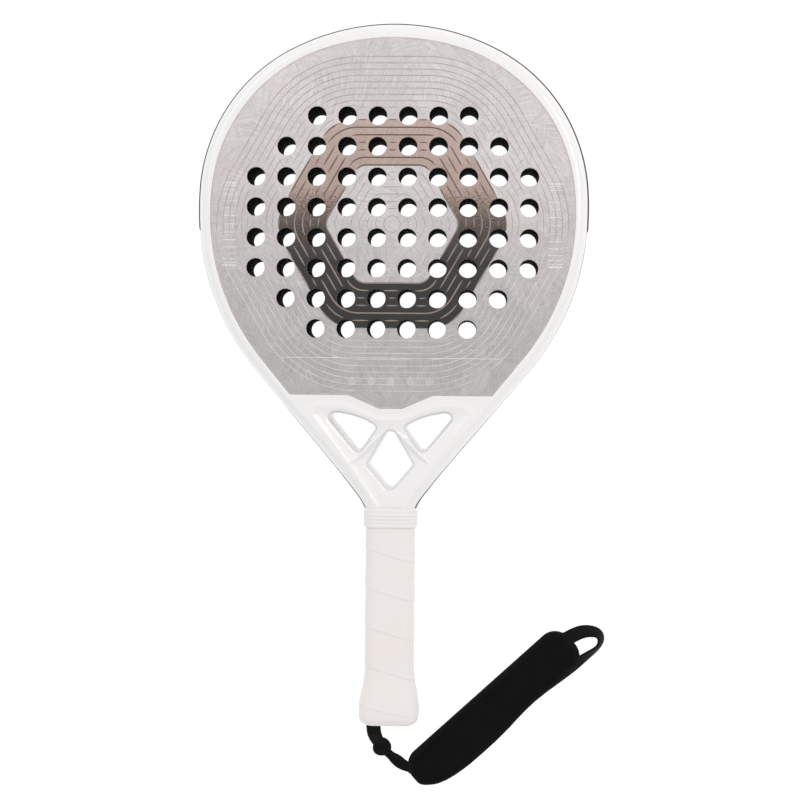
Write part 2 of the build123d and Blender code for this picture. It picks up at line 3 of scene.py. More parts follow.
import bmesh
import bpy
import numpy as np
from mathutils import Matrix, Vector
from mathutils.geometry import delaunay_2d_cdt


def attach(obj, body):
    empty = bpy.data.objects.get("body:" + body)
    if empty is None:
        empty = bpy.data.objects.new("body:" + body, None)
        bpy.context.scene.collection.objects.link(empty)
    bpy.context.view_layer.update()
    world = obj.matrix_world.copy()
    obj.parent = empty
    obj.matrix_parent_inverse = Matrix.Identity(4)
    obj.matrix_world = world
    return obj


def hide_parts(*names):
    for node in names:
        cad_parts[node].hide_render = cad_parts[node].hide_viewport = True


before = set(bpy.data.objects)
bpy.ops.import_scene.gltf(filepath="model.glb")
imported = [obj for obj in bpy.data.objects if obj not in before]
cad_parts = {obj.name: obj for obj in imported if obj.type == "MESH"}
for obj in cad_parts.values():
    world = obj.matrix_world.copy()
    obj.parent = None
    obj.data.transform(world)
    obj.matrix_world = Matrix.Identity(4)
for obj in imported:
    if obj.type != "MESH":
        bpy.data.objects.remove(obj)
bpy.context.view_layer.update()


# ---- the studio -------------------------------------------------------------
# A white light table for a floor, a pale room, and two large soft lamps. The
# camera looks straight down on the racket, which lies on its back face.
FLOOR_REACH, FLOOR_Z = 6, -0.0004


def link_new(name, data):
    """A new object in the scene that holds this data."""
    thing = bpy.data.objects.new(name, data)
    bpy.context.scene.collection.objects.link(thing)
    return thing


def fill_sockets(tree, node, sockets):
    """Joins each of these inputs of a node to another node's output, or sets its plain value."""
    for key, value in sockets.items():
        if isinstance(value, bpy.types.NodeSocket):
            tree.links.new(value, node.inputs[key])
        else:
            node.inputs[key].default_value = value


def put_node(tree, kind, sockets=None, **settings):
    """A shader node with its settings, its inputs set to values or joined to outputs."""
    node = tree.nodes.new("ShaderNode" + kind)
    for key, value in settings.items():
        setattr(node, key, value)
    fill_sockets(tree, node, sockets or {})
    return node


def show_on(tree, **sockets):
    """Fills the inputs of a material's Principled shader."""
    named = {key.replace("_", " "): value for key, value in sockets.items()}
    fill_sockets(tree, tree.nodes["Principled BSDF"], named)


def blank_finish(name, **sockets):
    """A material and its node tree, with plain values set on its Principled shader."""
    finish = bpy.data.materials.new(name)
    finish.use_nodes = True
    show_on(finish.node_tree, **sockets)
    return finish, finish.node_tree


def colour_ramp(tree, value, stops):
    """A colour that passes through the stops, each a share and a colour, as a value goes from 0 to 1."""
    node = put_node(tree, "ValToRGB", {"Fac": value})
    elements = node.color_ramp.elements
    for element, (share, colour) in zip((elements[0], elements[1]), (stops[0], stops[-1])):
        element.position = share
        element.color = (*colour, 1)
    for share, colour in stops[1:-1]:
        elements.new(share).color = (*colour, 1)
    return node.outputs["Color"]


def soft_lamp(name, place, aim, size, power, colour):
    """A square area lamp at a place, turned so that it shines at the aim."""
    lamp = bpy.data.lights.new(name, "AREA")
    lamp.size = size
    lamp.energy = power
    lamp.color = colour
    stand = link_new(name, lamp)
    stand.location = place
    stand.rotation_euler = (Vector(aim) - Vector(place)).to_track_quat("-Z", "Y").to_euler()


floor_mesh = bpy.data.meshes.new("floor")
floor_corners = [(x * FLOOR_REACH, y * FLOOR_REACH, FLOOR_Z) for x, y in ((-1, -1), (1, -1), (1, 1), (-1, 1))]
floor_mesh.from_pydata(floor_corners, [], [(0, 1, 2, 3)])
floor_mesh.materials.append(blank_finish(
    "light_table", Base_Color=(0.05, 0.05, 0.05, 1), Roughness=1.0,
    Emission_Color=(1.0, 1.0, 1.0, 1), Emission_Strength=1.0,
)[0])
link_new("floor", floor_mesh)

bpy.context.scene.view_settings.view_transform = "Standard"
world = bpy.data.worlds.new("pale_room")
bpy.context.scene.world = world
world.use_nodes = True
room = world.node_tree
room_up = put_node(room, "SeparateXYZ", {0: put_node(room, "TexCoord").outputs["Generated"]}).outputs["Z"]
room_colour = colour_ramp(room, room_up, [(0.0, (0.90, 0.90, 0.91)), (0.62, (1.0, 1.0, 1.0))])
fill_sockets(room, room.nodes["Background"], {"Strength": 0.86, "Color": room_colour})

soft_lamp("warm_lamp", (0.80, 0.50, 1.12), (0, -0.05, 0), 0.6, 4.4, (1.0, 0.90, 0.885))
soft_lamp("cool_lamp", (-0.9, 0.9, 1.0), (0, 0, 0), 0.9, 3.2, (0.95, 0.975, 1.0))

camera_data = bpy.data.cameras.new("camera")
camera_data.lens = 72.998
camera_data.sensor_width = 36.0
camera = link_new("camera", camera_data)
camera.location = (0.049994, 0.003534, 1.06733)
camera.rotation_euler = (math.radians(-1.0046), math.radians(2.4519), math.radians(0.5323))
bpy.context.scene.camera = camera

# ---- wrist strap: the webbing ----------------------------------------------
# Black polyester webbing, 9.4 mm wide and 1.9 mm thick. It leaves the slot in
# the butt, is knotted, runs under the cuff, and turns back in a loop to its end.
MM = 0.001
BUTT_Y = -227.5
STRAP_ROUTE = np.array([
    (-10.2, 7.6, 19.0), (-10.3, -2.0, 18.4), (-8.6, -9.5, 12.6), (-5.0, -16.3, 6.9), (1.0, -22.3, 4.9),
    (9.0, -27.7, 4.4), (19.5, -34.1, 2.6), (34.0, -34.5, 2.2), (58.0, -15.5, 2.2), (82.0, 11.0, 2.2),
    (109.5, 32.0, 2.4), (130.0, 46.5, 3.8), (138.0, 53.6, 5.2), (137.0, 61.2, 5.6), (128.0, 62.6, 5.8),
    (120.0, 60.0, 6.4), (113.0, 55.6, 6.6),
]) + (0, BUTT_Y, 0)
WEBBING_WIDTH, WEBBING_THICK, WEBBING_AROUND = 9.4, 1.9, 20
# Share of the way along the strap, and how far the webbing leans there in degrees.
WEBBING_LEAN = np.array([
    (0.0, 0), (0.05, 5), (0.10, 30), (0.14, 48), (0.18, 40), (0.215, 46),
    (0.26, 10), (0.5, 0), (0.70, 4), (0.76, 22), (0.81, 52), (0.86, 70), (0.90, 58), (0.95, 34), (1.0, 10),
])
LEAN_EASE = 6
WEBBING_TONES = (0.0015, 0.0015, 0.0017), (0.009, 0.009, 0.0098)
SHARP_ABOVE = math.radians(55)


def run_of_points(points):
    """The smooth line of a NURBS spline of order 3 that has these control points."""
    curve = bpy.data.curves.new("run", "CURVE")
    curve.dimensions = "3D"
    curve.resolution_u = 14
    spline = curve.splines.new("NURBS")
    spline.points.add(len(points) - 1)
    spline.points.foreach_set("co", np.c_[points, np.ones(len(points))].ravel())
    spline.order_u = 3
    spline.use_endpoint_u = True
    holder = link_new("run", curve)
    bpy.context.view_layer.update()
    line = bpy.data.meshes.new_from_object(holder)
    found = np.zeros(len(line.vertices) * 3)
    line.vertices.foreach_get("co", found)
    bpy.data.objects.remove(holder)
    bpy.data.meshes.remove(line)
    return found.reshape(-1, 3)


def way_along(line):
    """How far along a line of straight steps each of its points is."""
    return np.r_[0, np.cumsum(np.linalg.norm(np.diff(line, axis=0), axis=1))]


def grid_faces(rows, columns, round_columns=False):
    """Four corners of each cell of a grid; the last column joins the first if it goes round."""
    row = np.arange(rows - 1)[:, None]
    column = np.arange(columns if round_columns else columns - 1)[None, :]
    near, far = row * columns, (row + 1) * columns
    ahead = (column + 1) % columns
    return np.stack([near + column, near + ahead, far + ahead, far + column], -1).reshape(-1, 4)


def grid_uv(across, along):
    """The corners' UV for grid_faces: across has one value more than the columns that go round."""
    u, v = np.meshgrid(across, along)
    uv = np.stack([u, v], -1)
    return np.stack([uv[:-1, :-1], uv[:-1, 1:], uv[1:, 1:], uv[1:, :-1]], 2).reshape(-1, 2)


def put_in_mesh(name, points, faces, finish, corner_uv=None, turn_out=True):
    """A smooth piece from points in millimetres and lists of corners, with its faces turned outwards."""
    mesh = bpy.data.meshes.new(name)
    mesh.from_pydata((np.asarray(points) * MM).tolist(), [], [list(face) for face in faces])
    if corner_uv is not None:
        mesh.uv_layers.new(name="UVMap").data.foreach_set("uv", corner_uv.ravel())
    if turn_out:
        work = bmesh.new()
        work.from_mesh(mesh)
        bmesh.ops.recalc_face_normals(work, faces=work.faces)
        work.to_mesh(mesh)
        work.free()
    mesh.shade_smooth()
    mesh.set_sharp_from_angle(angle=SHARP_ABOVE)
    mesh.materials.append(finish)
    piece = link_new(name, mesh)
    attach(piece, "root")
    return piece


def capped_piece(name, grid, finish, corner_uv=None):
    """A piece from a grid of rings, closed by one face over its first ring and one over its last."""
    rows, around = grid.shape[:2]
    ring = np.arange(around)
    faces = grid_faces(rows, around, round_columns=True).tolist()
    faces += [ring[::-1].tolist(), (ring + (rows - 1) * around).tolist()]
    if corner_uv is not None:
        corner_uv = np.r_[corner_uv, np.zeros((2 * around, 2))]
    return put_in_mesh(name, grid.reshape(-1, 3), faces, finish, corner_uv)


def small_group(name, inputs, outputs):
    """An empty shader group with these inputs and their values, the outputs of its input node, and
    its output node, which takes a number for each named output."""
    group = bpy.data.node_groups.new(name, "ShaderNodeTree")
    for label, value in inputs.items():
        kind = "NodeSocketFloat" if isinstance(value, float) else "NodeSocketVector"
        group.interface.new_socket(label, in_out="INPUT", socket_type=kind).default_value = value
    for label in outputs:
        group.interface.new_socket(label, in_out="OUTPUT", socket_type="NodeSocketFloat")
    return group, group.nodes.new("NodeGroupInput").outputs, group.nodes.new("NodeGroupOutput")


def maths(tree, operation, *values):
    """The result of a sum on values or sockets."""
    return put_node(tree, "Math", dict(enumerate(values)), operation=operation).outputs[0]


def vectors(tree, operation, *values):
    """The result of a sum on vectors or sockets."""
    return put_node(tree, "VectorMath", dict(enumerate(values)), operation=operation).outputs[0]


def noise(tree, place, scale, detail, rough=0.5, **settings):
    """Noise from 0 to 1 at a place."""
    sockets = {"Vector": place, "Scale": scale, "Detail": detail, "Roughness": rough}
    return put_node(tree, "TexNoise", sockets, **settings).outputs[0]


def remap(tree, value, **ends):
    """A value carried from one range to another, each end at 0 or 1 unless it is given."""
    sockets = {key.replace("_", " ").title(): end for key, end in ends.items()}
    return put_node(tree, "MapRange", {"Value": value, **sockets}).outputs[0]


def colour_mix(tree, share, *pair):
    """The mix of two colours or sockets by a share."""
    low, high = [c if isinstance(c, bpy.types.NodeSocket) else (*c, 1) for c in pair]
    return put_node(tree, "Mix", {"Factor": share, 6: low, 7: high}, data_type="RGBA").outputs[2]


def bumped(tree, height, strength, distance):
    """The normal of a surface with this height from 0 to 1 over a distance in metres."""
    return put_node(tree, "Bump", {"Height": height, "Strength": strength, "Distance": distance}).outputs[0]


def woven_group():
    """Plain weave of warp and weft: each thread is a rounded rib, and crossing threads take
    turns on top, so the height is the product of two sines of the place in thread widths."""
    inputs = {"Place": (0, 0, 0), "Threads": (1, 1, 1)}
    group, given, made = small_group("plain_weave", inputs, ("Height", "Shade"))
    scaled = vectors(group, "MULTIPLY", given["Place"], given["Threads"])
    parts = put_node(group, "SeparateXYZ", {0: scaled}).outputs
    waves = [maths(group, "SINE", maths(group, "MULTIPLY", parts[axis], math.pi)) for axis in ("X", "Y")]
    low = maths(group, "MINIMUM", *[maths(group, "ABSOLUTE", wave) for wave in waves])
    lift = maths(group, "MULTIPLY_ADD", maths(group, "MULTIPLY", *waves), 0.35, low)
    height = maths(group, "MULTIPLY_ADD", noise(group, scaled, 1.7, 3.0), 0.35, lift)
    # Shade is painted shade: the lower the weave at a place, the darker the cloth's colour there.
    shade = remap(group, height, from_min=-0.1, from_max=1.2)
    fill_sockets(group, made, {"Height": height, "Shade": shade})
    return group


PLAIN_WEAVE = woven_group()


def cloth_finish(name, tones, threads, coords="UV", depth=0.35, roughness=0.85):
    """Woven cloth: two close tones across the weave, darker in its hollows as painted shade, a dull sheen,
    and the weave's height as bump.
    """
    sheen = {"Sheen_Weight": 0.04, "Sheen_Roughness": 0.4, "Specular_IOR_Level": 0.14}
    finish, tree = blank_finish(name, Roughness=roughness, **sheen)
    place = put_node(tree, "TexCoord").outputs
    sockets = {"Place": place[coords], "Threads": threads}
    weave = put_node(tree, "Group", sockets, node_tree=PLAIN_WEAVE).outputs
    share = maths(tree, "MULTIPLY", noise(tree, place["Object"], 90.0, 3.0), weave["Shade"])
    normal = bumped(tree, weave["Height"], depth, 0.0004)
    show_on(tree, Base_Color=colour_mix(tree, share, *tones), Normal=normal)
    return finish


def lean_along(share):
    """The webbing's lean at each share of its length, eased between the listed stations."""
    fine = np.pad(np.interp(share, *WEBBING_LEAN.T), LEAN_EASE, mode="edge")
    kernel = np.hanning(2 * LEAN_EASE + 1)
    return np.radians(np.convolve(fine, kernel / kernel.sum(), mode="valid"))


def band_along(line, lean):
    """A flat band with rounded edges along a line. Its section is a superellipse of power 4,
    as wide and thick as the webbing, whose wide side lies level and then leans about the line."""
    ahead = np.gradient(line, axis=0)
    ahead /= np.linalg.norm(ahead, axis=1)[:, None]
    level = np.cross((0.0, 0.0, 1.0), ahead)
    level /= np.linalg.norm(level, axis=1)[:, None]
    up = np.cross(ahead, level)
    side = level * np.cos(lean)[:, None] + up * np.sin(lean)[:, None]
    face = np.cross(ahead, side)
    turn = np.linspace(0, 2 * np.pi, WEBBING_AROUND, endpoint=False)
    x = np.sign(np.cos(turn)) * np.abs(np.cos(turn)) ** 0.5 * WEBBING_WIDTH / 2
    z = np.sign(np.sin(turn)) * np.abs(np.sin(turn)) ** 0.5 * WEBBING_THICK / 2
    return line[:, None, :] + side[:, None, :] * x[None, :, None] + face[:, None, :] * z[None, :, None]


strap_line = run_of_points(STRAP_ROUTE)
strap_line = strap_line[np.r_[True, np.linalg.norm(np.diff(strap_line, axis=0), axis=1) > 0.01]]
strap_way = way_along(strap_line)
strap_length = strap_way[-1]
webbing_grid = band_along(strap_line, lean_along(strap_way / strap_length))
webbing_uv = grid_uv(np.linspace(0, 2 * WEBBING_WIDTH, WEBBING_AROUND + 1), strap_way)
black_webbing = cloth_finish("black_webbing", WEBBING_TONES, (1.6, 0.9, 1.0))
webbing = capped_piece("webbing", webbing_grid, black_webbing, webbing_uv)
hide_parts("strap_webbing")

# ---- wrist strap: knot and doubled fold -------------------------------------
# The webbing is tied in one tight knot under the butt. Below it the two plies
# are sewn together at both ends and bow apart in between, like a leaf.
KNOT_CENTRE = np.array((-5.0, -15.9 + BUTT_Y, 7.0))
KNOT_RADII = np.array((6.0, 6.2, 4.4))
KNOT_TURN = math.radians(-52)
FOLD_CENTRE = np.array((6.0, -25.6 + BUTT_Y, 6.4))
FOLD_TURN = math.radians(-37)
FOLD_LONG, FOLD_WIDE, FOLD_HIGH = 21.0, 7.8, 2.6


def turned(points, angle):
    """Points turned about Z by an angle."""
    c, s = math.cos(angle), math.sin(angle)
    return points @ np.array([(c, s, 0), (-s, c, 0), (0, 0, 1)])


def knot_ball(rows=48, around=64):
    """A ball pulled in along two slanting creases, where the webbing laps over itself: radius = 1
    less a narrow trough wherever the sine of longitude plus 1.6 of latitude comes to nothing."""
    high = np.linspace(-np.pi / 2, np.pi / 2, rows)[1:-1, None]
    turn = np.linspace(0, 2 * np.pi, around, endpoint=False)[None, :]
    lap = np.abs(np.sin(turn + 1.6 * high + 0.4 * np.sin(2 * turn)))
    radius = 1 - 0.13 * np.exp(-((lap / 0.16) ** 2)) + 0.03 * np.sin(3 * turn + 2 * high)
    flat = radius * np.cos(high) ** 0.8
    return np.stack([flat * np.cos(turn), flat * np.sin(turn), radius * np.sin(high)], -1)


def leaf_shell(rows=41, around=28):
    """A leaf: at each share t of its length the half width is 0.16 and 0.84 of sin(pi t) to the power
    0.8, the top is hollowed by up to 0.45 between two raised edges, and the underside is flat."""
    t = np.linspace(0.0, 1.0, rows)[:, None]
    belly = np.sin(np.pi * t)
    wide = (0.16 + 0.84 * belly**0.8) * FOLD_WIDE / 2
    turn = np.linspace(0, 2 * np.pi, around, endpoint=False)[None, :]
    across = np.sign(np.cos(turn)) * np.abs(np.cos(turn)) ** 0.8
    lift = np.sign(np.sin(turn)) * np.abs(np.sin(turn)) ** 0.6
    hollow = 0.45 * np.exp(-((across / 0.5) ** 2)) * (lift > 0) * belly
    z = FOLD_HIGH / 2 * (lift - hollow) * (0.55 + 0.45 * belly)
    return np.stack([np.broadcast_to((t - 0.5) * FOLD_LONG, z.shape), wide * across, z], -1)


knot_cloth = cloth_finish("knot_cloth", WEBBING_TONES, (900, 900, 900), coords="Object")
knot = capped_piece("knot", turned(knot_ball() * KNOT_RADII, KNOT_TURN) + KNOT_CENTRE, knot_cloth)
fold = capped_piece("fold", turned(leaf_shell(), FOLD_TURN) + FOLD_CENTRE, knot_cloth)
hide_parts("strap_knot")
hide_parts("strap_fold")

# ---- cuff -------------------------------------------------------------------
# A foam pad in black stretch cloth on a thin lining, bound round its edge with
# folded tape. A row of stitches holds the binding, and another quilts the pad.
CUFF_CENTRE = np.array((68.8, 9.8 + BUTT_Y, 0.0))
CUFF_LONG, CUFF_WIDE, CUFF_CORNER = 140.0, 29.0, 12.0
CUFF_TURN = math.radians(42.7)
CUFF_LOW, CUFF_MIDDLE, CUFF_HIGH = 4.5, 6.8, 9.1
PAD_AROUND, BINDING_AROUND = 200, 320
PAD_INSETS = np.r_[np.linspace(2.4, 6.2, 7), np.linspace(6.5, 8.7, 12), np.linspace(9.2, 14.2, 8)]
BINDING_WIDE, BINDING_ROUND = 3.6, 1.6
CHANNEL_INSET, CHANNEL_DEEP, CHANNEL_WIDE = 7.6, 0.62, 0.55
EDGE_STITCH_INSET, STITCH_SINK = 2.9, 0.02
# Along the cuff from its middle: how far its lower side bows out or in, as a share of its half width.
CUFF_BOW = np.array([
    (-72, 0.60), (-66, 0.66), (-60, 0.80), (-54, 0.93), (-48, 1.01), (-42, 1.06), (-36, 1.09), (-24, 1.10),
    (-12, 1.09), (0, 1.04), (6, 0.995), (12, 0.96), (18, 0.94), (24, 0.93), (30, 0.95), (40, 0.98),
    (52, 1.0), (72, 1.0),
])
UPPER_BOW, UPPER_END_DRAWN_IN = 1.045, 0.972


def even_places(line, count=0, step=math.inf, closed=True):
    """Points evenly spaced along a line of straight steps, at least a count of them and as many as a
    step allows. A closed line ends on its first point, which is given once."""
    way = way_along(line[:, :2])
    places = max(count, int(way[-1] / step) + (not closed))
    even = np.linspace(0, way[-1], places, endpoint=not closed)
    return np.stack([np.interp(even, way, column) for column in line.T], 1)


def round_ended(inset, count):
    """Points round a rectangle with rounded corners, drawn in by an inset: straight runs and
    quarter arcs of the corner's radius less the inset, evenly spaced."""
    corner = max(CUFF_CORNER - inset, 0.6)
    reach = np.array((CUFF_LONG / 2 - inset, CUFF_WIDE / 2 - inset)) - corner
    turn = np.linspace(0, np.pi / 2, 13) + np.arange(4)[:, None] * np.pi / 2
    centres = np.array([(1, 1), (-1, 1), (-1, -1), (1, -1)])[:, None, :] * reach
    loop = (centres + corner * np.stack([np.cos(turn), np.sin(turn)], -1)).reshape(-1, 2)
    return even_places(np.r_[loop, loop[:1]], count)


def ringed_shell(insets, heights, count):
    """Rings drawn in by each inset at each height: one row of the grid for each ring."""
    return np.array([np.c_[round_ended(i, count), np.full(count, z)] for i, z in zip(insets, heights)])


def on_cuff(points):
    """Points of the cuff's own frame, its lower side bowed by CUFF_BOW, its upper side let out by
    a twentieth and its upper end drawn in, then turned and moved to where it lies."""
    x, y, z = np.moveaxis(np.asarray(points), -1, 0)
    bow = np.where(y < 0, np.interp(x, *CUFF_BOW.T), UPPER_BOW)
    shaped = np.stack([np.where(x > 0, x * UPPER_END_DRAWN_IN, x), y * bow, z], -1)
    return turned(shaped, CUFF_TURN) + CUFF_CENTRE


def cuff_crown(inset):
    """The pad's top: it rises in a quarter sine from the binding, dips by 0.62 mm in the quilted
    channel 7.6 mm in from the edge, and stays level over the middle."""
    rise = 1.5 * np.sin(np.clip((inset - 3.0) / 6.0, 0, 1) * np.pi / 2)
    channel = CHANNEL_DEEP * np.exp(-(((inset - CHANNEL_INSET) / CHANNEL_WIDE) ** 2))
    return CUFF_HIGH - 0.5 + rise - channel


pad_top = ringed_shell(PAD_INSETS, cuff_crown(PAD_INSETS), PAD_AROUND)
pad_low = ringed_shell(PAD_INSETS[::-1][[0, 8, 20, -1]], [CUFF_LOW + 0.1] * 4, PAD_AROUND)
cuff_cloth = cloth_finish(
    "cuff_cloth", ((0.0012, 0.0012, 0.0013), (0.0075, 0.0075, 0.0082)), (1500, 1500, 1500),
    coords="Object", depth=0.25, roughness=0.95,
)
cuff = capped_piece("cuff", on_cuff(np.concatenate([pad_top[::-1], pad_low[::-1]])), cuff_cloth)
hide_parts("cuff_pad", "cuff_lining")

# The tape's section, from under the pad's edge out and round to over it: insets, and heights
# either way from the middle.
edge_turn = np.linspace(-np.pi / 2, np.pi / 2, 13)
fold_in = [2.0, BINDING_WIDE - 0.35, BINDING_WIDE]
binding_insets = np.r_[fold_in[::-1], BINDING_ROUND * (1 - np.cos(edge_turn)), fold_in]
binding_half = CUFF_HIGH - CUFF_MIDDLE
fold_high = binding_half - np.array((0, 0.1, 0.5))
binding_heights = np.r_[-fold_high[::-1], binding_half * np.sin(edge_turn), fold_high] + CUFF_MIDDLE
binding_grid = ringed_shell(binding_insets, binding_heights, BINDING_AROUND)
binding_uv = grid_uv(np.arange(BINDING_AROUND + 1), np.linspace(0, 12, len(binding_grid)))
binding_cloth = cloth_finish(
    "binding_cloth", ((0.0015, 0.0015, 0.0016), (0.010, 0.010, 0.0105)), (1.3, 1.3, 1.0), depth=0.4
)
binding = put_in_mesh(
    "binding", on_cuff(binding_grid.reshape(-1, 3)),
    grid_faces(len(binding_grid), BINDING_AROUND, round_columns=True), binding_cloth, binding_uv,
)
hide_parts("cuff_binding")


def stitch_row(inset, height, pitch=2.7, long=1.9, thick=0.42, sides=6, rows=5):
    """A row of stitches along the cuff's edge: each is a short thread, thick times the square
    root of 1 - s squared, bowed up in its middle and sunk at both ends."""
    count = int(2 * (CUFF_LONG + CUFF_WIDE) / pitch)
    ring = round_ended(inset, count)
    ahead = np.roll(ring, -1, axis=0) - np.roll(ring, 1, axis=0)
    ahead /= np.linalg.norm(ahead, axis=1)[:, None]
    aside = np.stack([-ahead[:, 1], ahead[:, 0]], 1)
    ring, ahead, aside = (part[:, :, None, None] for part in (ring, ahead, aside))
    s = np.linspace(-0.96, 0.96, rows)[:, None]
    turn = np.linspace(0, 2 * np.pi, sides, endpoint=False)
    girth = thick / 2 * np.sqrt(1 - s**2)
    xy = ring + ahead * s * long / 2 + aside * girth * np.cos(turn)
    z = np.broadcast_to(height + 0.16 * (1 - s**2) + girth * np.sin(turn), xy[:, 0].shape)
    firsts = np.arange(count)[:, None, None] * rows * sides
    ends = np.stack([np.arange(sides)[::-1], (rows - 1) * sides + np.arange(sides)])
    faces = (firsts + grid_faces(rows, sides, round_columns=True)).reshape(-1, 4).tolist()
    faces += (firsts + ends).reshape(-1, sides).tolist()
    return np.stack([xy[:, 0], xy[:, 1], z], -1).reshape(-1, 3), faces


def all_together(parts):
    """Several sets of points and faces as one, the faces counting on from the points before."""
    firsts = np.cumsum([0] + [len(points) for points, _ in parts])
    faces = [np.add(face, first).tolist() for first, (_, cells) in zip(firsts, parts) for face in cells]
    return np.concatenate([points for points, _ in parts]), faces


thread_points, thread_faces = all_together([
    stitch_row(EDGE_STITCH_INSET, CUFF_HIGH - STITCH_SINK),
    stitch_row(CHANNEL_INSET, cuff_crown(CHANNEL_INSET) - STITCH_SINK),
])
thread_finish = cloth_finish(
    "sewing_thread", ((0.003, 0.003, 0.003), (0.012, 0.012, 0.0125)), (2400, 2400, 2400),
    coords="Object", roughness=0.6,
)
stitches = put_in_mesh("stitches", on_cuff(thread_points), thread_faces, thread_finish)

# ---- frame: rim, rails and throat -------------------------------------------
# One hollow carbon moulding in gloss white lacquer. The rim runs down into two
# rails, which an arched bridge and two struts brace above the neck.
HALF_DEEP = 19.0
MIDDLE_Z = HALF_DEEP
TAPER_FROM, TAPER_ARC, TAPER_ARC_RADIUS, TAPER_ARC_DROP, TAPER_SLOPE = -34.5, 5.95, 90.0, 0.197, 0.0663
NECK_CUT = -97.81
# Up the racket, how far the finished side stands in from the moulding's own edge.
SIDE_GAP = np.array([
    (-98, 0.3), (-82, 0.35), (-74, 0.9), (-65, 1.4), (-45, 1.5), (-10, 1.3), (20, 1.1), (60, 1.3),
    (90, 2.1), (100, 2.5), (150, 2.8), (230, 2.7),
])
EDGE_REACH, EDGE_DROP = 7.0, 13.0
POCKET_SLOPE, POCKET_DEEP = 0.42, 4.2
OPENING_REACH, OPENING_DROP = 2.2, 8.5
RIM_ARCS = [
    ((0.0, 81.5), 146.0, 90.0, 62.0),
    ((16.969, 113.414), 109.855, 62.0, 4.5),
    ((-40.0, 108.931), 167.0, 4.5, -40.0),
]
RAIL_START, RAIL_END = (87.929, 1.585), (21.787, -77.240)
RAIL_OUT = math.radians(-40)
THROAT_CENTRE, THROAT_RADIUS = (46.3, NECK_CUT), 32.0
FACE_ARCS = [
    ((0.0, 72.6), 142.0, 90.0, 72.0),
    ((11.7615, 108.798), 103.939, 72.0, 8.0),
    ((-28.9, 103.084), 145.0, 8.0, -39.0),
]
FACE_FOOT = np.array([
    (64.49, -12.0), (27.0, -12.0), (7.5, -20.4), (-7.5, -20.4), (-27.0, -12.0), (-64.49, -12.0),
])
FACE_FOOT_RADII = (0.9, 9.0, 2.2, 2.2, 9.0, 0.9)
WINDOW_RIGHT = np.array([
    (41.4, -23.8), (33.6, -23.75), (24.9, -25.3), (16.8, -28.2), (9.2, -32.5), (20.7, -48.5),
])
WINDOW_RADII = (2.8, 12.0, 40.0, 20.0, 2.0, 2.6)
EYE = np.array([(0.0, -32.2), (14.0, -56.5), (0.0, -73.18), (-14.0, -56.5)])
EYE_RADII = (3.4, 0.5, 3.6, 0.5)
RAIL_RIDGE = np.array([(50.5, -24.5), (26.0, -56.7), (8.3, -83.4), (7.6, -92.0), (7.4, -101.0)])
ARCH_RIDGE = np.array([
    (46.5, -19.0), (37.6, -18.8), (31.0, -19.2), (24.7, -20.9), (17.5, -23.7), (10.8, -26.6), (6.0, -27.6),
])
STRUT_RIDGE = np.array([(3.2, -34.4), (26.2, -56.9)])
STRUT_SUNK, STRUT_RISE, STRUT_SLOPE = 1.9, 1.75, 0.85
NECK_SUNK, NECK_SLOPE, NECK_FROM = 1.35, 0.55, -75.0
OUTER_SLOPE, OUTER_REACH, OUTER_FROM = 0.15, 11.0, -16.0
DISH_DEEP, DISH_FROM, DISH_WIDEST = 0.45, -8.0, 20.0
RIM_INSETS = (0.0, 0.1, 0.32, 0.7, 1.25, 2.0, 2.9, 3.9, 4.9, 5.9, 6.9, 7.8)
FACE_EDGE_INSETS = (0.0, 0.12, 0.5, 1.1, 2.0)
OPENING_INSETS = (0.0, 0.03, 0.12, 0.3, 0.62, 1.1, 1.6, 2.2)
CREASE_SIDES = (-0.35, 0.0, 0.35)
OUTLINE_STEP, CORNER_STEP = 1.15, 1.0
CLEAR_OF_SIDE, CLEAR_OF_FACE, CLEAR_OF_OPENING = 8.8, 2.6, 2.8


def arc_run(centre, radius, start, end, side=1.0):
    """Points of an arc from one angle to another, and the directions straight out of the part:
    away from the arc's centre, or towards it with side -1."""
    count = max(3, int(abs(math.radians(end - start)) * radius / OUTLINE_STEP) + 1)
    angle = np.radians(np.linspace(start, end, count))
    out = np.stack([np.cos(angle), np.sin(angle)], 1)
    return np.array(centre) + radius * out, side * out


def joined(runs):
    """Several runs end to end, without the point that each shares with the one before."""
    points = np.concatenate([runs[0][0]] + [r[0][1:] for r in runs[1:]])
    outs = np.concatenate([runs[0][1]] + [r[1][1:] for r in runs[1:]])
    return points, outs


def mirrored(half):
    """A run on the right side from the middle outwards, with its mirror image before it."""
    points, outs = half
    flip = np.array((-1, 1))
    return np.concatenate([points[::-1] * flip, points[1:]]), np.concatenate([outs[::-1] * flip, outs[1:]])


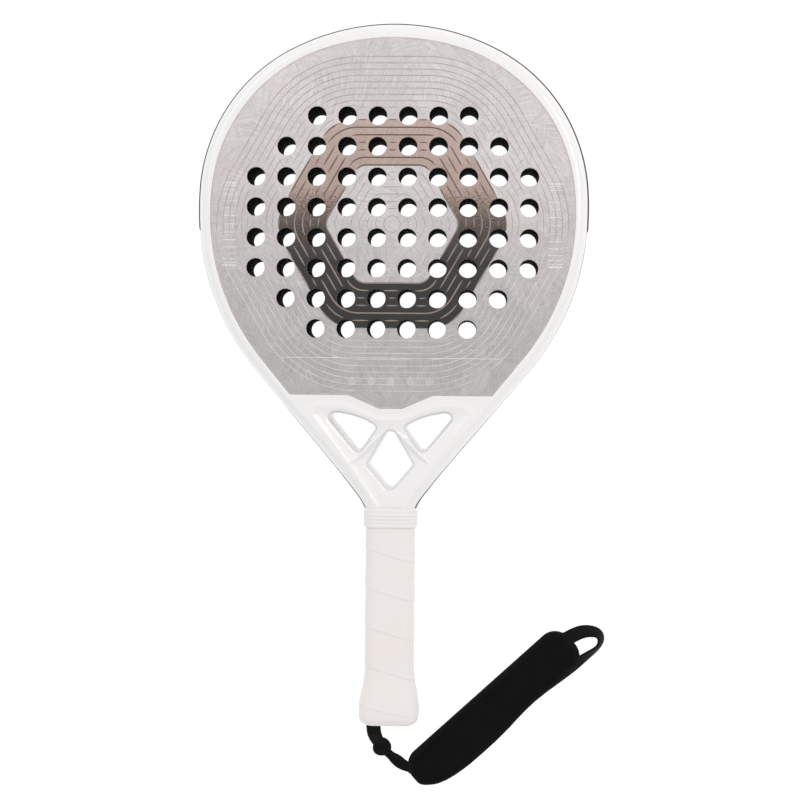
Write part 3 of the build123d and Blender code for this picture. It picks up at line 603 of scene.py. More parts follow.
def rounded_corners(corners, radii, closed=True):
    """A polygon, clockwise, with each corner replaced by an arc of its radius that touches both
    sides, the arc's centre on the corner's bisector."""
    count = len(corners)
    arcs = []
    for k in range(count) if closed else range(1, count - 1):
        before, here, after = corners[k - 1], corners[k], corners[(k + 1) % count]
        to_before = (before - here) / np.linalg.norm(before - here)
        to_after = (after - here) / np.linalg.norm(after - here)
        half = math.acos(np.clip(to_before @ to_after, -1, 1)) / 2
        way = (to_before + to_after) / np.linalg.norm(to_before + to_after)
        centre = here + way * radii[k] / math.sin(half)
        touches = [here + to * radii[k] / math.tan(half) - centre for to in (to_before, to_after)]
        first, last = (math.atan2(y, x) for x, y in touches)
        turn = (last - first + math.pi) % (2 * math.pi) - math.pi
        steps = max(3, int(abs(turn) * radii[k] / (CORNER_STEP * 0.6)) + 2)
        angle = first + turn * np.linspace(0, 1, steps)
        spoke = np.stack([np.cos(angle), np.sin(angle)], 1)
        arcs.append((centre + radii[k] * spoke, spoke if turn < 0 else -spoke))
    runs = []
    for k, arc in enumerate(arcs):
        runs.append(arc)
        if closed or k + 1 < len(arcs):
            start, end = arc[0][-1], arcs[(k + 1) % len(arcs)][0][0]
            gap = np.linalg.norm(end - start)
            share = np.linspace(0, 1, int(gap / CORNER_STEP) + 2)[1:-1, None]
            way = (end - start) / gap
            runs.append((start + share * (end - start), np.tile((-way[1], way[0]), (len(share), 1))))
    return np.concatenate([points for points, _ in runs]), np.concatenate([outs for _, outs in runs])


def rail_side():
    """The straight outside of the right rail and the hollow arc that runs into the neck."""
    start, end = np.array(RAIL_START), np.array(RAIL_END)
    share = np.linspace(0, 1, int(np.linalg.norm(end - start) / OUTLINE_STEP) + 1)[:, None]
    outs = np.tile((math.cos(RAIL_OUT), math.sin(RAIL_OUT)), (len(share), 1))
    hollow = arc_run(THROAT_CENTRE, THROAT_RADIUS, 140.0, 180.0, side=-1.0)
    return (start + share * (end - start), outs), hollow


outline, outline_out = mirrored(joined([arc_run(*arc) for arc in RIM_ARCS] + [*rail_side()]))
side_gap = np.pad(np.interp(outline[:, 1], *SIDE_GAP.T), 6, mode="edge")
outline = outline - np.convolve(side_gap, np.ones(13) / 13, mode="valid")[:, None] * outline_out

# The face's edge goes over the crown from the left, then back along its foot.
crown, crown_out = mirrored(joined([arc_run(*arc) for arc in FACE_ARCS]))
foot, foot_out = rounded_corners(
    np.r_[crown[-1:], FACE_FOOT, crown[-1:] * (-1, 1)], (0, *FACE_FOOT_RADII, 0), closed=False
)
face_loop = np.concatenate([crown, foot])
face_loop_out = np.concatenate([crown_out, foot_out])
window, window_out = rounded_corners(WINDOW_RIGHT[::-1], WINDOW_RADII[::-1])
eye, eye_out = rounded_corners(EYE, EYE_RADII)
# The three openings, each with the directions from its edge into the moulding.
openings = [(window, window_out), (window * (-1, 1), window_out * (-1, 1)), (eye, eye_out)]


AT_ONCE = 4000


def way_off(points, line, closed=True):
    """Each point's distance to the nearest place on a line of straight steps."""
    ends = np.roll(line, -1, axis=0) if closed else line[1:]
    starts = line if closed else line[:-1]
    step = ends - starts
    squares = np.maximum((step**2).sum(1), 1e-12)
    nearest = np.full(len(points), 1e9)
    for first in range(0, len(points), AT_ONCE):
        gap = points[first:first + AT_ONCE, None, :] - starts[None]
        share = np.clip((gap * step).sum(2) / squares, 0, 1)
        off = gap - share[..., None] * step
        nearest[first:first + AT_ONCE] = np.sqrt((off**2).sum(2)).min(1)
    return nearest


def is_inside(points, loop):
    """Whether each point is inside a closed loop: a line to the right crosses it an odd number of times."""
    ends = np.roll(loop, -1, axis=0)
    answer = np.zeros(len(points), bool)
    for first in range(0, len(points), AT_ONCE):
        x, y = points[first:first + AT_ONCE].T[:, :, None]
        spans = (loop[:, 1] > y) != (ends[:, 1] > y)
        rise = np.where(ends[:, 1] == loop[:, 1], 1e-9, ends[:, 1] - loop[:, 1])
        cross = loop[:, 0] + (y - loop[:, 1]) * (ends[:, 0] - loop[:, 0]) / rise
        answer[first:first + AT_ONCE] = ((spans & (x < cross)).sum(1) % 2) == 1
    return answer


def half_depth(y):
    """Half the racket's depth at each y: 19 mm over the head, then a gentle arc and a straight
    taper to 15 mm at the neck."""
    below = np.maximum(0.0, TAPER_FROM - y)
    arc = below**2 / (2 * TAPER_ARC_RADIUS)
    straight = TAPER_ARC_DROP + (below - TAPER_ARC) * TAPER_SLOPE
    return HALF_DEEP - np.where(below < TAPER_ARC, arc, straight)


def softer_max(a, b, blend):
    """The larger of two heights, with the crease between them rounded by a blend length."""
    return 0.5 * (a + b + np.sqrt((a - b) ** 2 + blend**2))


pocket = np.concatenate([RAIL_RIDGE[::-1], ARCH_RIDGE, ARCH_RIDGE[::-1] * (-1, 1), RAIL_RIDGE * (-1, 1)])


def quarter_round(gap, reach, drop):
    """How far a rounded edge has dropped at a gap from it: a quarter ellipse, reach by drop."""
    t = np.clip(1 - gap / reach, 0, 1)
    return drop * (1 - np.sqrt(1 - t * t))


def frame_top(points):
    """The moulding's front surface over the plan. A level top follows the half depth; outside, a
    quarter ellipse falls to the side wall. Inside the ridge line it slopes down to the openings, and
    each strut is a roof along its ridge; the highest of these is taken, with soft creases. Outside
    it, below the face, the top slopes off a little and is dished between the ridge and the face."""
    x, y = points[:, 0], points[:, 1]
    half = half_depth(y)
    plateau = MIDDLE_Z + half
    off_ridge = way_off(points, pocket)
    inside = is_inside(points, pocket)
    into = np.where(inside, off_ridge, 0.0)
    eased = np.sqrt(into**2 + 0.04) - 0.2
    sunk = POCKET_DEEP * (1 - np.exp(-POCKET_SLOPE * eased / POCKET_DEEP))
    height = plateau - sunk
    for side in (1, -1):
        start, end = STRUT_RIDGE * (side, 1)
        step = end - start
        share = np.clip(((points - start) @ step) / (step @ step), -0.1, 1.0)
        off = np.linalg.norm(points - start - share[:, None] * step, axis=1)
        ridge = plateau - STRUT_SUNK + STRUT_RISE * np.clip(share, 0, 1)
        roof = ridge - STRUT_SLOPE * (np.sqrt(off**2 + 0.03) - 0.17)
        height = softer_max(height, np.where(inside, roof, -99.0), 0.08)
    neck_floor = plateau - NECK_SUNK - NECK_SLOPE * np.maximum(0, y - NECK_FROM)
    height = softer_max(height, np.where(inside, neck_floor, -99.0), 0.06)
    height = np.minimum(height, plateau + 0.02)
    sloping = np.clip((OUTER_FROM - y) / 20.0, 0, 1)
    height -= np.where(inside, 0, OUTER_SLOPE * np.minimum(off_ridge, OUTER_REACH)) * sloping
    border = way_off(points, face_loop)
    share = border / np.maximum(border + off_ridge, 0.01)
    dish = np.clip((DISH_FROM - y) / 6.0, 0, 1) * np.clip((DISH_WIDEST - border - off_ridge) / 6.0, 0, 1)
    height -= DISH_DEEP * dish * np.where(inside, 0, np.sin(np.pi * share) ** 2)
    off_side = way_off(points, outline, closed=False)
    height -= quarter_round(off_side, EDGE_REACH, EDGE_DROP * half / HALF_DEEP)
    height -= quarter_round(border, 0.5, 0.5)
    for loop, _ in openings:
        height -= quarter_round(way_off(points, loop), OPENING_REACH, OPENING_DROP)
    return height


class PlanDrawing:
    """Points and lines of a flat drawing, which is then cut into triangles."""

    def __init__(self):
        self.points, self.lines, self.count = [], [], 0

    def add(self, points, closed=None):
        """Adds points; closed True or False also joins them in a ring or in a line."""
        first, n = self.count, len(points)
        self.points.append(points)
        self.count += n
        if closed is not None:
            index = np.arange(first, first + n)
            ahead = np.roll(index, -1) if closed else index[1:]
            self.lines.append(np.stack([index if closed else index[:-1], ahead], 1))
        return first

    def triangles(self, keep):
        """The Delaunay triangles whose middles pass the keep test, and the points they use."""
        points = np.concatenate(self.points)
        lines = np.concatenate(self.lines)
        found = delaunay_2d_cdt([Vector(p) for p in points.tolist()], lines.tolist(), [], 0, 1e-4)
        flat = np.array([tuple(p) for p in found[0]])
        cells = np.array(found[2])
        cells = cells[keep(flat[cells].mean(1))]
        used, cells = np.unique(cells, return_inverse=True)
        flat, cells = flat[used], cells.reshape(-1, 3)
        a, b, c = flat[cells[:, 0]], flat[cells[:, 1]], flat[cells[:, 2]]
        turn = (b[:, 0] - a[:, 0]) * (c[:, 1] - a[:, 1]) - (b[:, 1] - a[:, 1]) * (c[:, 0] - a[:, 0])
        cells[turn < 0] = cells[turn < 0][:, ::-1]
        return flat, cells


def even_dots(low, high, pitch):
    """Points of a triangular grid over a rectangle."""
    xs = np.arange(low[0], high[0], pitch)
    ys = np.arange(low[1], high[1], pitch * 0.866)
    x, y = np.meshgrid(xs, ys)
    x = x + (np.arange(len(ys)) % 2)[:, None] * pitch / 2
    return np.stack([x.ravel(), y.ravel()], 1)


def open_edges(cells):
    """The directed sides that only one triangle has: the rims of the sheet."""
    sides = np.concatenate([cells[:, [0, 1]], cells[:, [1, 2]], cells[:, [2, 0]]])
    key, back = sides[:, 0] * 10_000_000 + sides[:, 1], sides[:, 1] * 10_000_000 + sides[:, 0]
    return sides[~np.isin(key, back)]


def two_sided(flat, cells, top, low):
    """A closed body from a flat sheet: its front at the top heights, its back at the low ones, and a
    wall between them along each rim."""
    n = len(flat)
    points = np.concatenate([np.c_[flat, top], np.c_[flat, low]])
    rim = open_edges(cells)
    walls = np.stack([rim[:, 1], rim[:, 0], rim[:, 0] + n, rim[:, 1] + n], 1)
    return points, cells.tolist() + (cells[:, ::-1] + n).tolist() + walls.tolist()


def leftward(line):
    """The unit direction to the left of a flat line at each of its points."""
    ahead = np.gradient(line, axis=0)
    return np.stack([-ahead[:, 1], ahead[:, 0]], 1) / np.linalg.norm(ahead, axis=1)[:, None]


frame_plan = PlanDrawing()
ends = np.array([frame_plan.add(outline - inset * outline_out, closed=False) for inset in RIM_INSETS])
last = len(outline) - 1
frame_plan.lines.append(np.stack([ends[:-1], ends[1:]], 1))
frame_plan.lines.append(np.stack([ends[:-1] + last, ends[1:] + last], 1))
cut_line = np.linspace(outline[0, 0] + RIM_INSETS[-1], outline[-1, 0] - RIM_INSETS[-1], 12)
cut_first = frame_plan.add(np.c_[cut_line, np.full(12, outline[0, 1])], closed=False)
frame_plan.lines.append(np.array([(ends[-1], cut_first), (ends[-1] + last, cut_first + 11)]))
for inset in FACE_EDGE_INSETS:
    frame_plan.add(face_loop + inset * face_loop_out, closed=True)
for loop, inwards in openings:
    for inset in OPENING_INSETS:
        frame_plan.add(loop + inset * inwards, closed=True)
# Lines along the ridges and to either side, so that each crease falls on triangle sides.
for ridge in (pocket, STRUT_RIDGE, STRUT_RIDGE * (-1, 1)):
    fine = even_places(ridge, step=1.1, closed=False)
    for shift in CREASE_SIDES:
        frame_plan.add(fine + shift * leftward(fine), closed=False)
dots = even_dots((-90, -97), (90, 10), 1.0)
clear = is_inside(dots, outline) & (way_off(dots, outline, closed=False) > CLEAR_OF_SIDE)
for loop, space in ((face_loop, CLEAR_OF_FACE), *((loop, CLEAR_OF_OPENING) for loop, _ in openings)):
    clear &= ~is_inside(dots, loop) & (way_off(dots, loop) > space)
frame_plan.add(dots[clear])


def in_moulding(points):
    """Whether each point of the plan is in the moulding and in none of its openings."""
    good = is_inside(points, outline) & ~is_inside(points, face_loop)
    for loop, _ in openings:
        good &= ~is_inside(points, loop)
    return good


def grain_group():
    """Fine marks of a finish: two sizes of noise, as a height from 0 to 1 and as a slow tone."""
    inputs = {"Place": (0, 0, 0), "Fine": 900.0, "Broad": 40.0}
    group, given, made = small_group("fine_grain", inputs, ("Height", "Tone"))
    fine = noise(group, given["Place"], given["Fine"], 4.0, 0.6)
    fill_sockets(group, made, {"Height": fine, "Tone": noise(group, given["Place"], given["Broad"], 3.0)})
    return group


FINE_GRAIN = grain_group()


def fine_grain(tree, fine, broad):
    """The grain's height and slow tone over a piece, for two scales of noise."""
    place = put_node(tree, "TexCoord").outputs["Object"]
    sockets = {"Place": place, "Fine": fine, "Broad": broad}
    return put_node(tree, "Group", sockets, node_tree=FINE_GRAIN).outputs


def grained_finish(name, tones, fine, broad, strength, rough, distance=0.0002, shade=None, **sockets):
    """A moulded or painted finish: two close colours over broad clouds, roughness that drifts
    between two values, and a fine grain as bump. The shade, if any, takes the colour further."""
    finish, tree = blank_finish(name, **sockets)
    grain = fine_grain(tree, fine, broad)
    colour = colour_mix(tree, grain["Tone"], *tones)
    show_on(
        tree,
        Base_Color=shade(tree, colour) if shade else colour,
        Roughness=remap(tree, grain["Tone"], to_min=rough[0], to_max=rough[1]),
        Normal=bumped(tree, grain["Height"], strength, distance),
    )
    return finish


def painted_wall_shade(tree, colour):
    """Painted shade on the side walls: the colour is the given one from 12.5 mm off mid depth on,
    and is painted down to a grey within 7.5 mm of it."""
    up = put_node(tree, "SeparateXYZ", {0: put_node(tree, "TexCoord").outputs["Object"]}).outputs["Z"]
    off_middle = maths(tree, "ABSOLUTE", maths(tree, "SUBTRACT", up, MIDDLE_Z * MM))
    share = remap(tree, off_middle, from_min=0.0075, from_max=0.0125)
    return colour_mix(tree, share, (0.66, 0.655, 0.655), colour)


# The white lacquer's side walls are painted a darker grey: painted shade.
white_lacquer = grained_finish(
    "white_lacquer", ((0.80, 0.795, 0.79), (0.84, 0.835, 0.83)), 260.0, 22.0, 0.05, (0.24, 0.34),
    shade=painted_wall_shade, Coat_Weight=0.7, Coat_Roughness=0.08, Specular_IOR_Level=0.5,
)
frame_flat, frame_cells = frame_plan.triangles(in_moulding)
frame_high = frame_top(frame_flat)
frame_points, frame_faces = two_sided(frame_flat, frame_cells, frame_high, 2 * MIDDLE_Z - frame_high)
frame_shell = put_in_mesh("frame_shell", frame_points, frame_faces, white_lacquer)
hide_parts("frame_tube", "throat_bridge")

# ---- side band --------------------------------------------------------------
# A dark lacquered band round the outside of the rim and down both rails, where the
# two halves of the moulding meet. Round the top half of the head a strip of the same
# dark stock is stuck over it, and guards the rim where it scrapes the ground.
# Up the racket, how far the band reaches either way from the middle of the side.
BAND_REACH = np.array([
    (-90, 11.4), (-82, 11.2), (-70, 9.6), (-58, 7.6), (-40, 7.4),
    (10, 7.4), (50, 9.6), (75, 10.6), (92, 9.2), (230, 9.2),
])
# Up the racket, how far the band stands proud of the moulding.
BAND_PROUD = np.array([(92.5, 0.08), (94.0, 0.85), (230, 0.85)])
BAND_SPARE, SIDE_LEVEL = 6, HALF_DEEP - EDGE_DROP


def side_band(rows=19):
    """The band follows the moulding's side: level for 6 mm either side of the middle, then on the
    quarter ellipse of the edge, proud of it by BAND_PROUD, with both of its own edges rounded
    as a square root and let in."""
    line = outline[BAND_SPARE:-BAND_SPARE]
    out = outline_out[BAND_SPARE:-BAND_SPARE]
    scale = half_depth(line[:, 1]) / HALF_DEEP
    reach = np.interp(line[:, 1], *BAND_REACH.T)[:, None]
    share = np.sin(np.linspace(-np.pi / 2, np.pi / 2, rows))
    off = np.abs(share)[None, :] * reach
    over = np.clip((off - SIDE_LEVEL) / EDGE_DROP, 0, 1)
    back = EDGE_REACH * (1 - np.sqrt(1 - over**2))
    thick = np.interp(line[:, 1], *BAND_PROUD.T)[:, None]
    thin = BAND_PROUD[0, 1]
    proud = thin + (thick - thin) * np.sqrt(np.clip((1 - np.abs(share)) / 0.12, 0, 1))[None, :]
    proud[:, [0, -1]] = -0.35
    xy = line[:, None, :] + out[:, None, :] * (proud - back)[..., None]
    z = MIDDLE_Z + scale[:, None] * share[None, :] * reach
    outer = np.concatenate([xy, z[..., None]], 2)
    inner = outer.copy()
    inner[..., :2] = (line - 1.4 * out)[:, None, :]
    inner[:, [0, -1], :2] = outer[:, [0, -1], :2] - 0.6 * out[:, None, :]
    return np.concatenate([outer, inner[:, ::-1]], 1)


band_lacquer = grained_finish(
    "band_lacquer", ((0.012, 0.012, 0.014), (0.03, 0.03, 0.034)), 700.0, 60.0, 0.12, (0.3, 0.45),
    Coat_Weight=0.5, Coat_Roughness=0.12,
)
band = capped_piece("side_band", side_band(), band_lacquer)
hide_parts("side_strip")

# ---- the two faces ----------------------------------------------------------
# A thin laminate of glass and carbon cloth under clear lacquer on each side of
# the foam core. The 68 holes are drilled through it, with their edges eased.
FACE_TOP, FACE_LOW, FACE_GAP = 37.78, 36.8, 0.06
HOLE_RADIUS = 5.875
HOLE_PITCH = 19.3
HOLE_MIDDLE_Y = 97.6
HOLE_EASE_WIDE, HOLE_EASE_DEEP = 0.55, 0.5
holes = np.array([
    ((column - (number - 1) / 2) * HOLE_PITCH, HOLE_MIDDLE_Y + (3.5 - row) * HOLE_PITCH)
    for row, number in enumerate((6, 8, 10, 10, 10, 10, 8, 6))
    for column in range(number)
])
ring_angle = np.linspace(0, 2 * np.pi, 48, endpoint=False)
ring_way = np.stack([np.cos(ring_angle), np.sin(ring_angle)], 1)


def hole_gap(points):
    """Each point's distance outside the edge of the nearest hole."""
    nearest = np.full(len(points), 1e9)
    for hole in holes:
        nearest = np.minimum(nearest, np.linalg.norm(points - hole, axis=1))
    return nearest - HOLE_RADIUS


def add_holes(plan, gaps):
    """Draws a ring round each hole at each gap from its edge."""
    for hole in holes:
        for gap in gaps:
            plan.add(hole + (HOLE_RADIUS + gap) * ring_way, closed=True)


def holed_top(flat, high):
    """A level surface at a height, its edge eased as a quarter ellipse down into each hole."""
    return high - quarter_round(np.maximum(hole_gap(flat), 0), HOLE_EASE_WIDE, HOLE_EASE_DEEP)


def both_faces(name, points, faces, finish, turn_out=True):
    """A piece on the front face, and its mirror image about the middle depth on the back face."""
    front = put_in_mesh(f"{name}_front", points, faces, finish, turn_out=turn_out)
    back_points = points * (1, 1, -1) + (0, 0, 2 * MIDDLE_Z)
    back_faces = faces if turn_out else [face[::-1] for face in faces]
    back = put_in_mesh(f"{name}_back", back_points, back_faces, finish, turn_out=turn_out)
    return front, back


face_plan = PlanDrawing()
for inset in (FACE_GAP, 0.3):
    face_plan.add(face_loop - inset * face_loop_out, closed=True)
add_holes(face_plan, (0.0, 0.1, 0.28, HOLE_EASE_WIDE))
dots = even_dots((-118, -22), (118, 216), 4.5)
face_plan.add(dots[is_inside(dots, face_loop) & (way_off(dots, face_loop) > 2) & (hole_gap(dots) > 1.5)])
face_flat, face_cells = face_plan.triangles(
    lambda middle: is_inside(middle, face_loop - FACE_GAP * face_loop_out) & (hole_gap(middle) > -0.02)
)
face_low = np.full(len(face_flat), FACE_LOW)
face_points, face_faces = two_sided(face_flat, face_cells, holed_top(face_flat, FACE_TOP), face_low)


def brushed_group():
    """Patches of fibre: Voronoi cells each turn the place by their own angle, and noise stretched
    thirty to one along that direction gives the brushed streaks and their height."""
    inputs = {"Place": (0, 0, 0), "Patch": 55.0}
    group, given, made = small_group("brushed_patches", inputs, ("Streaks", "Patches"))
    place = given["Place"]
    warp = put_node(group, "TexNoise", {"Vector": place, "Scale": 30.0, "Detail": 2.0}).outputs["Color"]
    bent = vectors(group, "MULTIPLY_ADD", warp, (0.03, 0.03, 0.0), place)
    sockets = {"Vector": bent, "Scale": given["Patch"]}
    cell = put_node(group, "TexVoronoi", sockets, voronoi_dimensions="2D").outputs["Color"]
    sockets = {"Vector": place, "Angle": maths(group, "MULTIPLY", cell, 6.0)}
    turn = put_node(group, "VectorRotate", sockets, rotation_type="Z_AXIS").outputs[0]
    long = vectors(group, "MULTIPLY", turn, (70.0, 2300.0, 0.0))
    cross = vectors(group, "MULTIPLY", turn, (1700.0, 60.0, 0.0))
    fibre = noise(group, long, 1.0, 2.0, 0.6, noise_dimensions="2D")
    weft = noise(group, cross, 1.0, 1.0, noise_dimensions="2D")
    both = maths(group, "MULTIPLY_ADD", weft, 0.4, fibre)
    tint = put_node(group, "SeparateColor", {0: cell}).outputs[1]
    soft = noise(group, place, 14.0, 4.0, 0.62)
    patched = put_node(group, "Mix", {"Factor": 0.38, 2: soft, 3: tint}).outputs[0]
    sharp = remap(group, both, from_min=0.45, from_max=0.95)
    fill_sockets(group, made, {"Streaks": sharp, "Patches": patched})
    return group


BRUSHED = brushed_group()


def brushed(tree, colour, streak, rough_from, rough, strength):
    """A brushed metal look on a material's shader: the streaks scale its colour and are its bump,
    and the streaks or the patches carry its roughness from one value to another."""
    place = put_node(tree, "TexCoord").outputs["Object"]
    cloth = put_node(tree, "Group", {"Place": place}, node_tree=BRUSHED).outputs
    plain = colour(tree, place, cloth)
    show_on(
        tree,
        Base_Color=scaled(tree, plain, cloth["Streaks"], to_min=streak[0], to_max=streak[1]),
        Roughness=remap(tree, cloth[rough_from], to_min=rough[0], to_max=rough[1]),
        Normal=bumped(tree, cloth["Streaks"], strength, 0.00008),
    )


def scaled(tree, colour, value, **ends):
    """A colour made lighter or darker by a value, which is first carried to another range."""
    sockets = {0: colour, "Scale": remap(tree, value, **ends)}
    return put_node(tree, "VectorMath", sockets, operation="SCALE").outputs[0]


def share_up(tree, place, low, high):
    """A value that eases from 0 to 1 as Y goes from low to high, in millimetres up the racket."""
    up = put_node(tree, "SeparateXYZ", {0: place}).outputs["Y"]
    sockets = {"Value": up, "From Min": low * MM, "From Max": high * MM}
    return put_node(tree, "MapRange", sockets, interpolation_type="SMOOTHSTEP").outputs[0]


def silver_cloth(tree, place, cloth):
    """Silver cloth, warm and pale towards the crown and cooler and darker towards the throat."""
    low = colour_mix(tree, cloth["Patches"], (0.385, 0.37, 0.375), (0.53, 0.505, 0.50))
    high = colour_mix(tree, cloth["Patches"], (0.545, 0.515, 0.51), (0.68, 0.645, 0.635))
    return colour_mix(tree, share_up(tree, place, 20.0, 150.0), low, high)


face_laminate, laminate_tree = blank_finish(
    "face_laminate", Metallic=0.15, Coat_Weight=0.35, Coat_Roughness=0.2
)
brushed(laminate_tree, silver_cloth, (0.76, 1.15), "Streaks", (0.42, 0.6), 0.25)
face_front, face_back = both_faces("face", face_points, face_faces, face_laminate)
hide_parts("face_sheet_front")
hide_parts("face_sheet_back")

# ---- foam core --------------------------------------------------------------
# One block of black closed-cell EVA between the faces. It shows only as the
# walls of the holes, where the drill has torn the cells open.
def refinish(node, finish):
    """Gives one of the CAD's own nodes another finish."""
    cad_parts[node].data.materials.clear()
    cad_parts[node].data.materials.append(finish)


refinish("foam_core", grained_finish(
    "core_foam", ((0.001, 0.001, 0.001), (0.004, 0.004, 0.0042)), 1300.0, 300.0, 0.6, (0.85, 0.97),
    distance=0.0006, Specular_IOR_Level=0.05,
))

# ---- the printed ring -------------------------------------------------------
# A six-sided ring in metallic ink on each face, bronze at the crown end and
# fading through brown into black, with raised lines of clear lacquer on it.
RING_MIDDLE = np.array((0.0, 96.6))
RING_OUT, RING_OUT_CORNER = 66.0, 25.0
RING_IN, RING_IN_CORNER = 37.4, 9.0
RING_INK, RING_THICK = 0.05, 0.12
# Share of the way up the ring, and the ink's colour there.
INK_STOPS = [
    (0.0, (0.012, 0.011, 0.011)), (0.36, (0.02, 0.017, 0.016)), (0.50, (0.06, 0.043, 0.038)),
    (0.60, (0.16, 0.115, 0.095)), (0.68, (0.40, 0.30, 0.255)), (1.0, (0.47, 0.365, 0.32)),
]


def six_sided(half_across, corner, count=360):
    """A six-sided loop with level top and bottom, half_across from its middle to each side: an arc
    of the corner's radius round each tip, and straight sides between them."""
    tip = (np.arange(6)[:, None] + 1) * np.pi / 3
    arc = tip + np.linspace(-np.pi / 6, np.pi / 6, count // 12)
    far = (half_across - corner) / math.cos(np.pi / 6)
    x, y = far * np.cos(tip) + corner * np.cos(arc), far * np.sin(tip) + corner * np.sin(arc)
    loop = np.stack([x.ravel(), y.ravel()], 1)
    return even_places(np.r_[loop, loop[:1]], count, step=1.2) + RING_MIDDLE


ring_outer = six_sided(RING_OUT, RING_OUT_CORNER)
ring_inner = six_sided(RING_IN, RING_IN_CORNER)
ring_plan = PlanDrawing()
ring_plan.add(ring_outer, closed=True)
ring_plan.add(ring_inner, closed=True)
add_holes(ring_plan, (0.02, 0.1, 0.28, HOLE_EASE_WIDE))
ring_flat, ring_cells = ring_plan.triangles(
    lambda middle: is_inside(middle, ring_outer) & ~is_inside(middle, ring_inner) & (hole_gap(middle) > 0.0)
)
ring_high = holed_top(ring_flat, FACE_TOP + RING_INK)


def speckled_ink(tree, place, cloth):
    """Bronze above, black below, with brown between. Where two colours meet, coarse specks of one
    lie in the other: noise is added to the height up the face."""
    specks = noise(tree, place, 900.0, 2.0)
    up = put_node(tree, "SeparateXYZ", {0: place}).outputs["Y"]
    stirred = maths(tree, "MULTIPLY_ADD", specks, 0.045, up)
    return colour_ramp(tree, remap(tree, stirred, from_min=0.045, from_max=0.185), INK_STOPS)


ring_ink, ink_tree = blank_finish("ring_ink", Metallic=0.3, Coat_Weight=0.4, Coat_Roughness=0.15)
brushed(ink_tree, speckled_ink, (0.82, 1.15), "Patches", (0.38, 0.55), 0.2)
both_faces("ring", *two_sided(ring_flat, ring_cells, ring_high, ring_high - RING_THICK), ring_ink)

# ---- raised lines of the faces ----------------------------------------------
# Low ribs of lacquer that roughen the face: they follow the ring outwards and
# inwards in even steps, stop short of the holes and the rim, and fade out.
RIB_WIDE, RIB_HIGH, RIB_HOLE_SPACE = 0.62, 0.16, 1.0
RIDGE_WIDE, RIDGE_HIGH, RIDGE_HOLE_SPACE = 0.95, 0.17, 0.7
RIB_SUNK, RIB_RIM_SPACE = 0.03, 1.6
RING_LINES = 6


def raised_lines(loops, width, height, base, hole_space):
    """A rib along each loop, left out near the holes and the rim. Its section is a flat dome: at
    share s across, the height is that of the rib times 1 - s squared. A run tapers at both ends."""
    parts = []
    across = np.linspace(-1, 1, 5)
    for loop in loops:
        keep = is_inside(loop, face_loop) & (way_off(loop, face_loop) > RIB_RIM_SPACE)
        keep &= hole_gap(loop) > hole_space
        whole = keep.all()
        order = (np.arange(len(loop) + whole) + (0 if whole else int(np.argmin(keep)))) % len(loop)
        cuts = np.split(order, np.where(np.diff(keep[order].astype(int)) != 0)[0] + 1)
        for run in [run for run in cuts if keep[run[0]] and len(run) > 3]:
            line = loop[run]
            share = np.linspace(0, 1, len(line))
            taper = np.clip(np.minimum(share, 1 - share) * len(line) / 4, 0.02, 1)
            taper = np.ones(len(line)) if whole else taper
            half = (across * width / 2)[None, :, None] * (0.4 + 0.6 * taper)[:, None, None]
            xy = line[:, None, :] + leftward(line)[:, None, :] * half
            z = base - RIB_SUNK + (height + RIB_SUNK) * (1 - across**2)[None, :] * taper[:, None]
            parts.append((np.concatenate([xy, z[..., None]], 2).reshape(-1, 3), grid_faces(len(line), 5)))
    return all_together(parts)


def rib_finish(name, low, high, turn_low, turn_high):
    """Lacquer or ink of one colour low on the face and another high on it, easing from one to the
    other between two heights, with small breaks where the lacquer is thin."""
    finish, tree = blank_finish(name, Coat_Weight=0.4, Coat_Roughness=0.1)
    place = put_node(tree, "TexCoord").outputs["Object"]
    thin = noise(tree, place, 120.0, 3.0)
    tone = colour_mix(tree, share_up(tree, place, turn_low, turn_high), low, high)
    show_on(
        tree,
        Base_Color=scaled(tree, tone, thin, from_min=0.35, from_max=0.65, to_min=0.85, to_max=1.08),
        Roughness=remap(tree, thin, to_min=0.25, to_max=0.4),
    )
    return finish


ring_sizes = np.linspace((RING_OUT, RING_OUT_CORNER), (RING_IN, RING_IN_CORNER), RING_LINES + 1)
ring_loops = [six_sided(half_across, corner) for half_across, corner in ring_sizes]
plain_loops = [six_sided(RING_OUT + k * 4.0, RING_OUT_CORNER + k * 4.4) for k in range(1, 11)]
plain_loops += [six_sided(RING_IN - k * 4.6, max(RING_IN_CORNER - k * 0.6, 3.0)) for k in range(1, 8)]
# Painted light on the ribs: each is paler low on the face, a painted highlight, and darker high on it,
# painted shade.
relief_lacquer_painted_lighting = rib_finish("relief_lacquer_painted_lighting", (0.60, 0.58, 0.575), (0.40, 0.385, 0.38), 70.0, 100.0)
ridge_lacquer_painted_lighting = rib_finish("ridge_lacquer_painted_lighting", (0.24, 0.19, 0.165), (0.10, 0.065, 0.052), 96.0, 122.0)
relief = raised_lines(plain_loops, RIB_WIDE, RIB_HIGH, FACE_TOP, RIB_HOLE_SPACE)
ridges = raised_lines(ring_loops, RIDGE_WIDE, RIDGE_HIGH, FACE_TOP + RING_INK, RIDGE_HOLE_SPACE)
both_faces("relief", *relief, relief_lacquer_painted_lighting, turn_out=False)
both_faces("ridges", *ridges, ridge_lacquer_painted_lighting, turn_out=False)

# ---- grip -------------------------------------------------------------------
# White overgrip tape wound down the handle in slanting turns, each lapping the
# one above. It is thin, slightly tacky polyurethane felt, over a base grip.
GRIP_TOP, GRIP_LOW = -95.6, -218.6
GRIP_HALF_WIDE, GRIP_HALF_DEEP, GRIP_CORNER = 15.6, 15.6, 9.4
FLARE_FROM, FLARE_TO = -190.5, -213.5
FLARE_WIDE, FLARE_DEEP = 3.4, 2.1
LAP_PITCH, LAP_FIRST, LAP_HIGH, LAP_STEP = 25.1, -83.45, 0.27, 0.55
SEAM_GROOVE, SEAM_ROLL, HAND_SLACK = 0.16, 0.1, 0.10
GRIP_BORE = 0.93


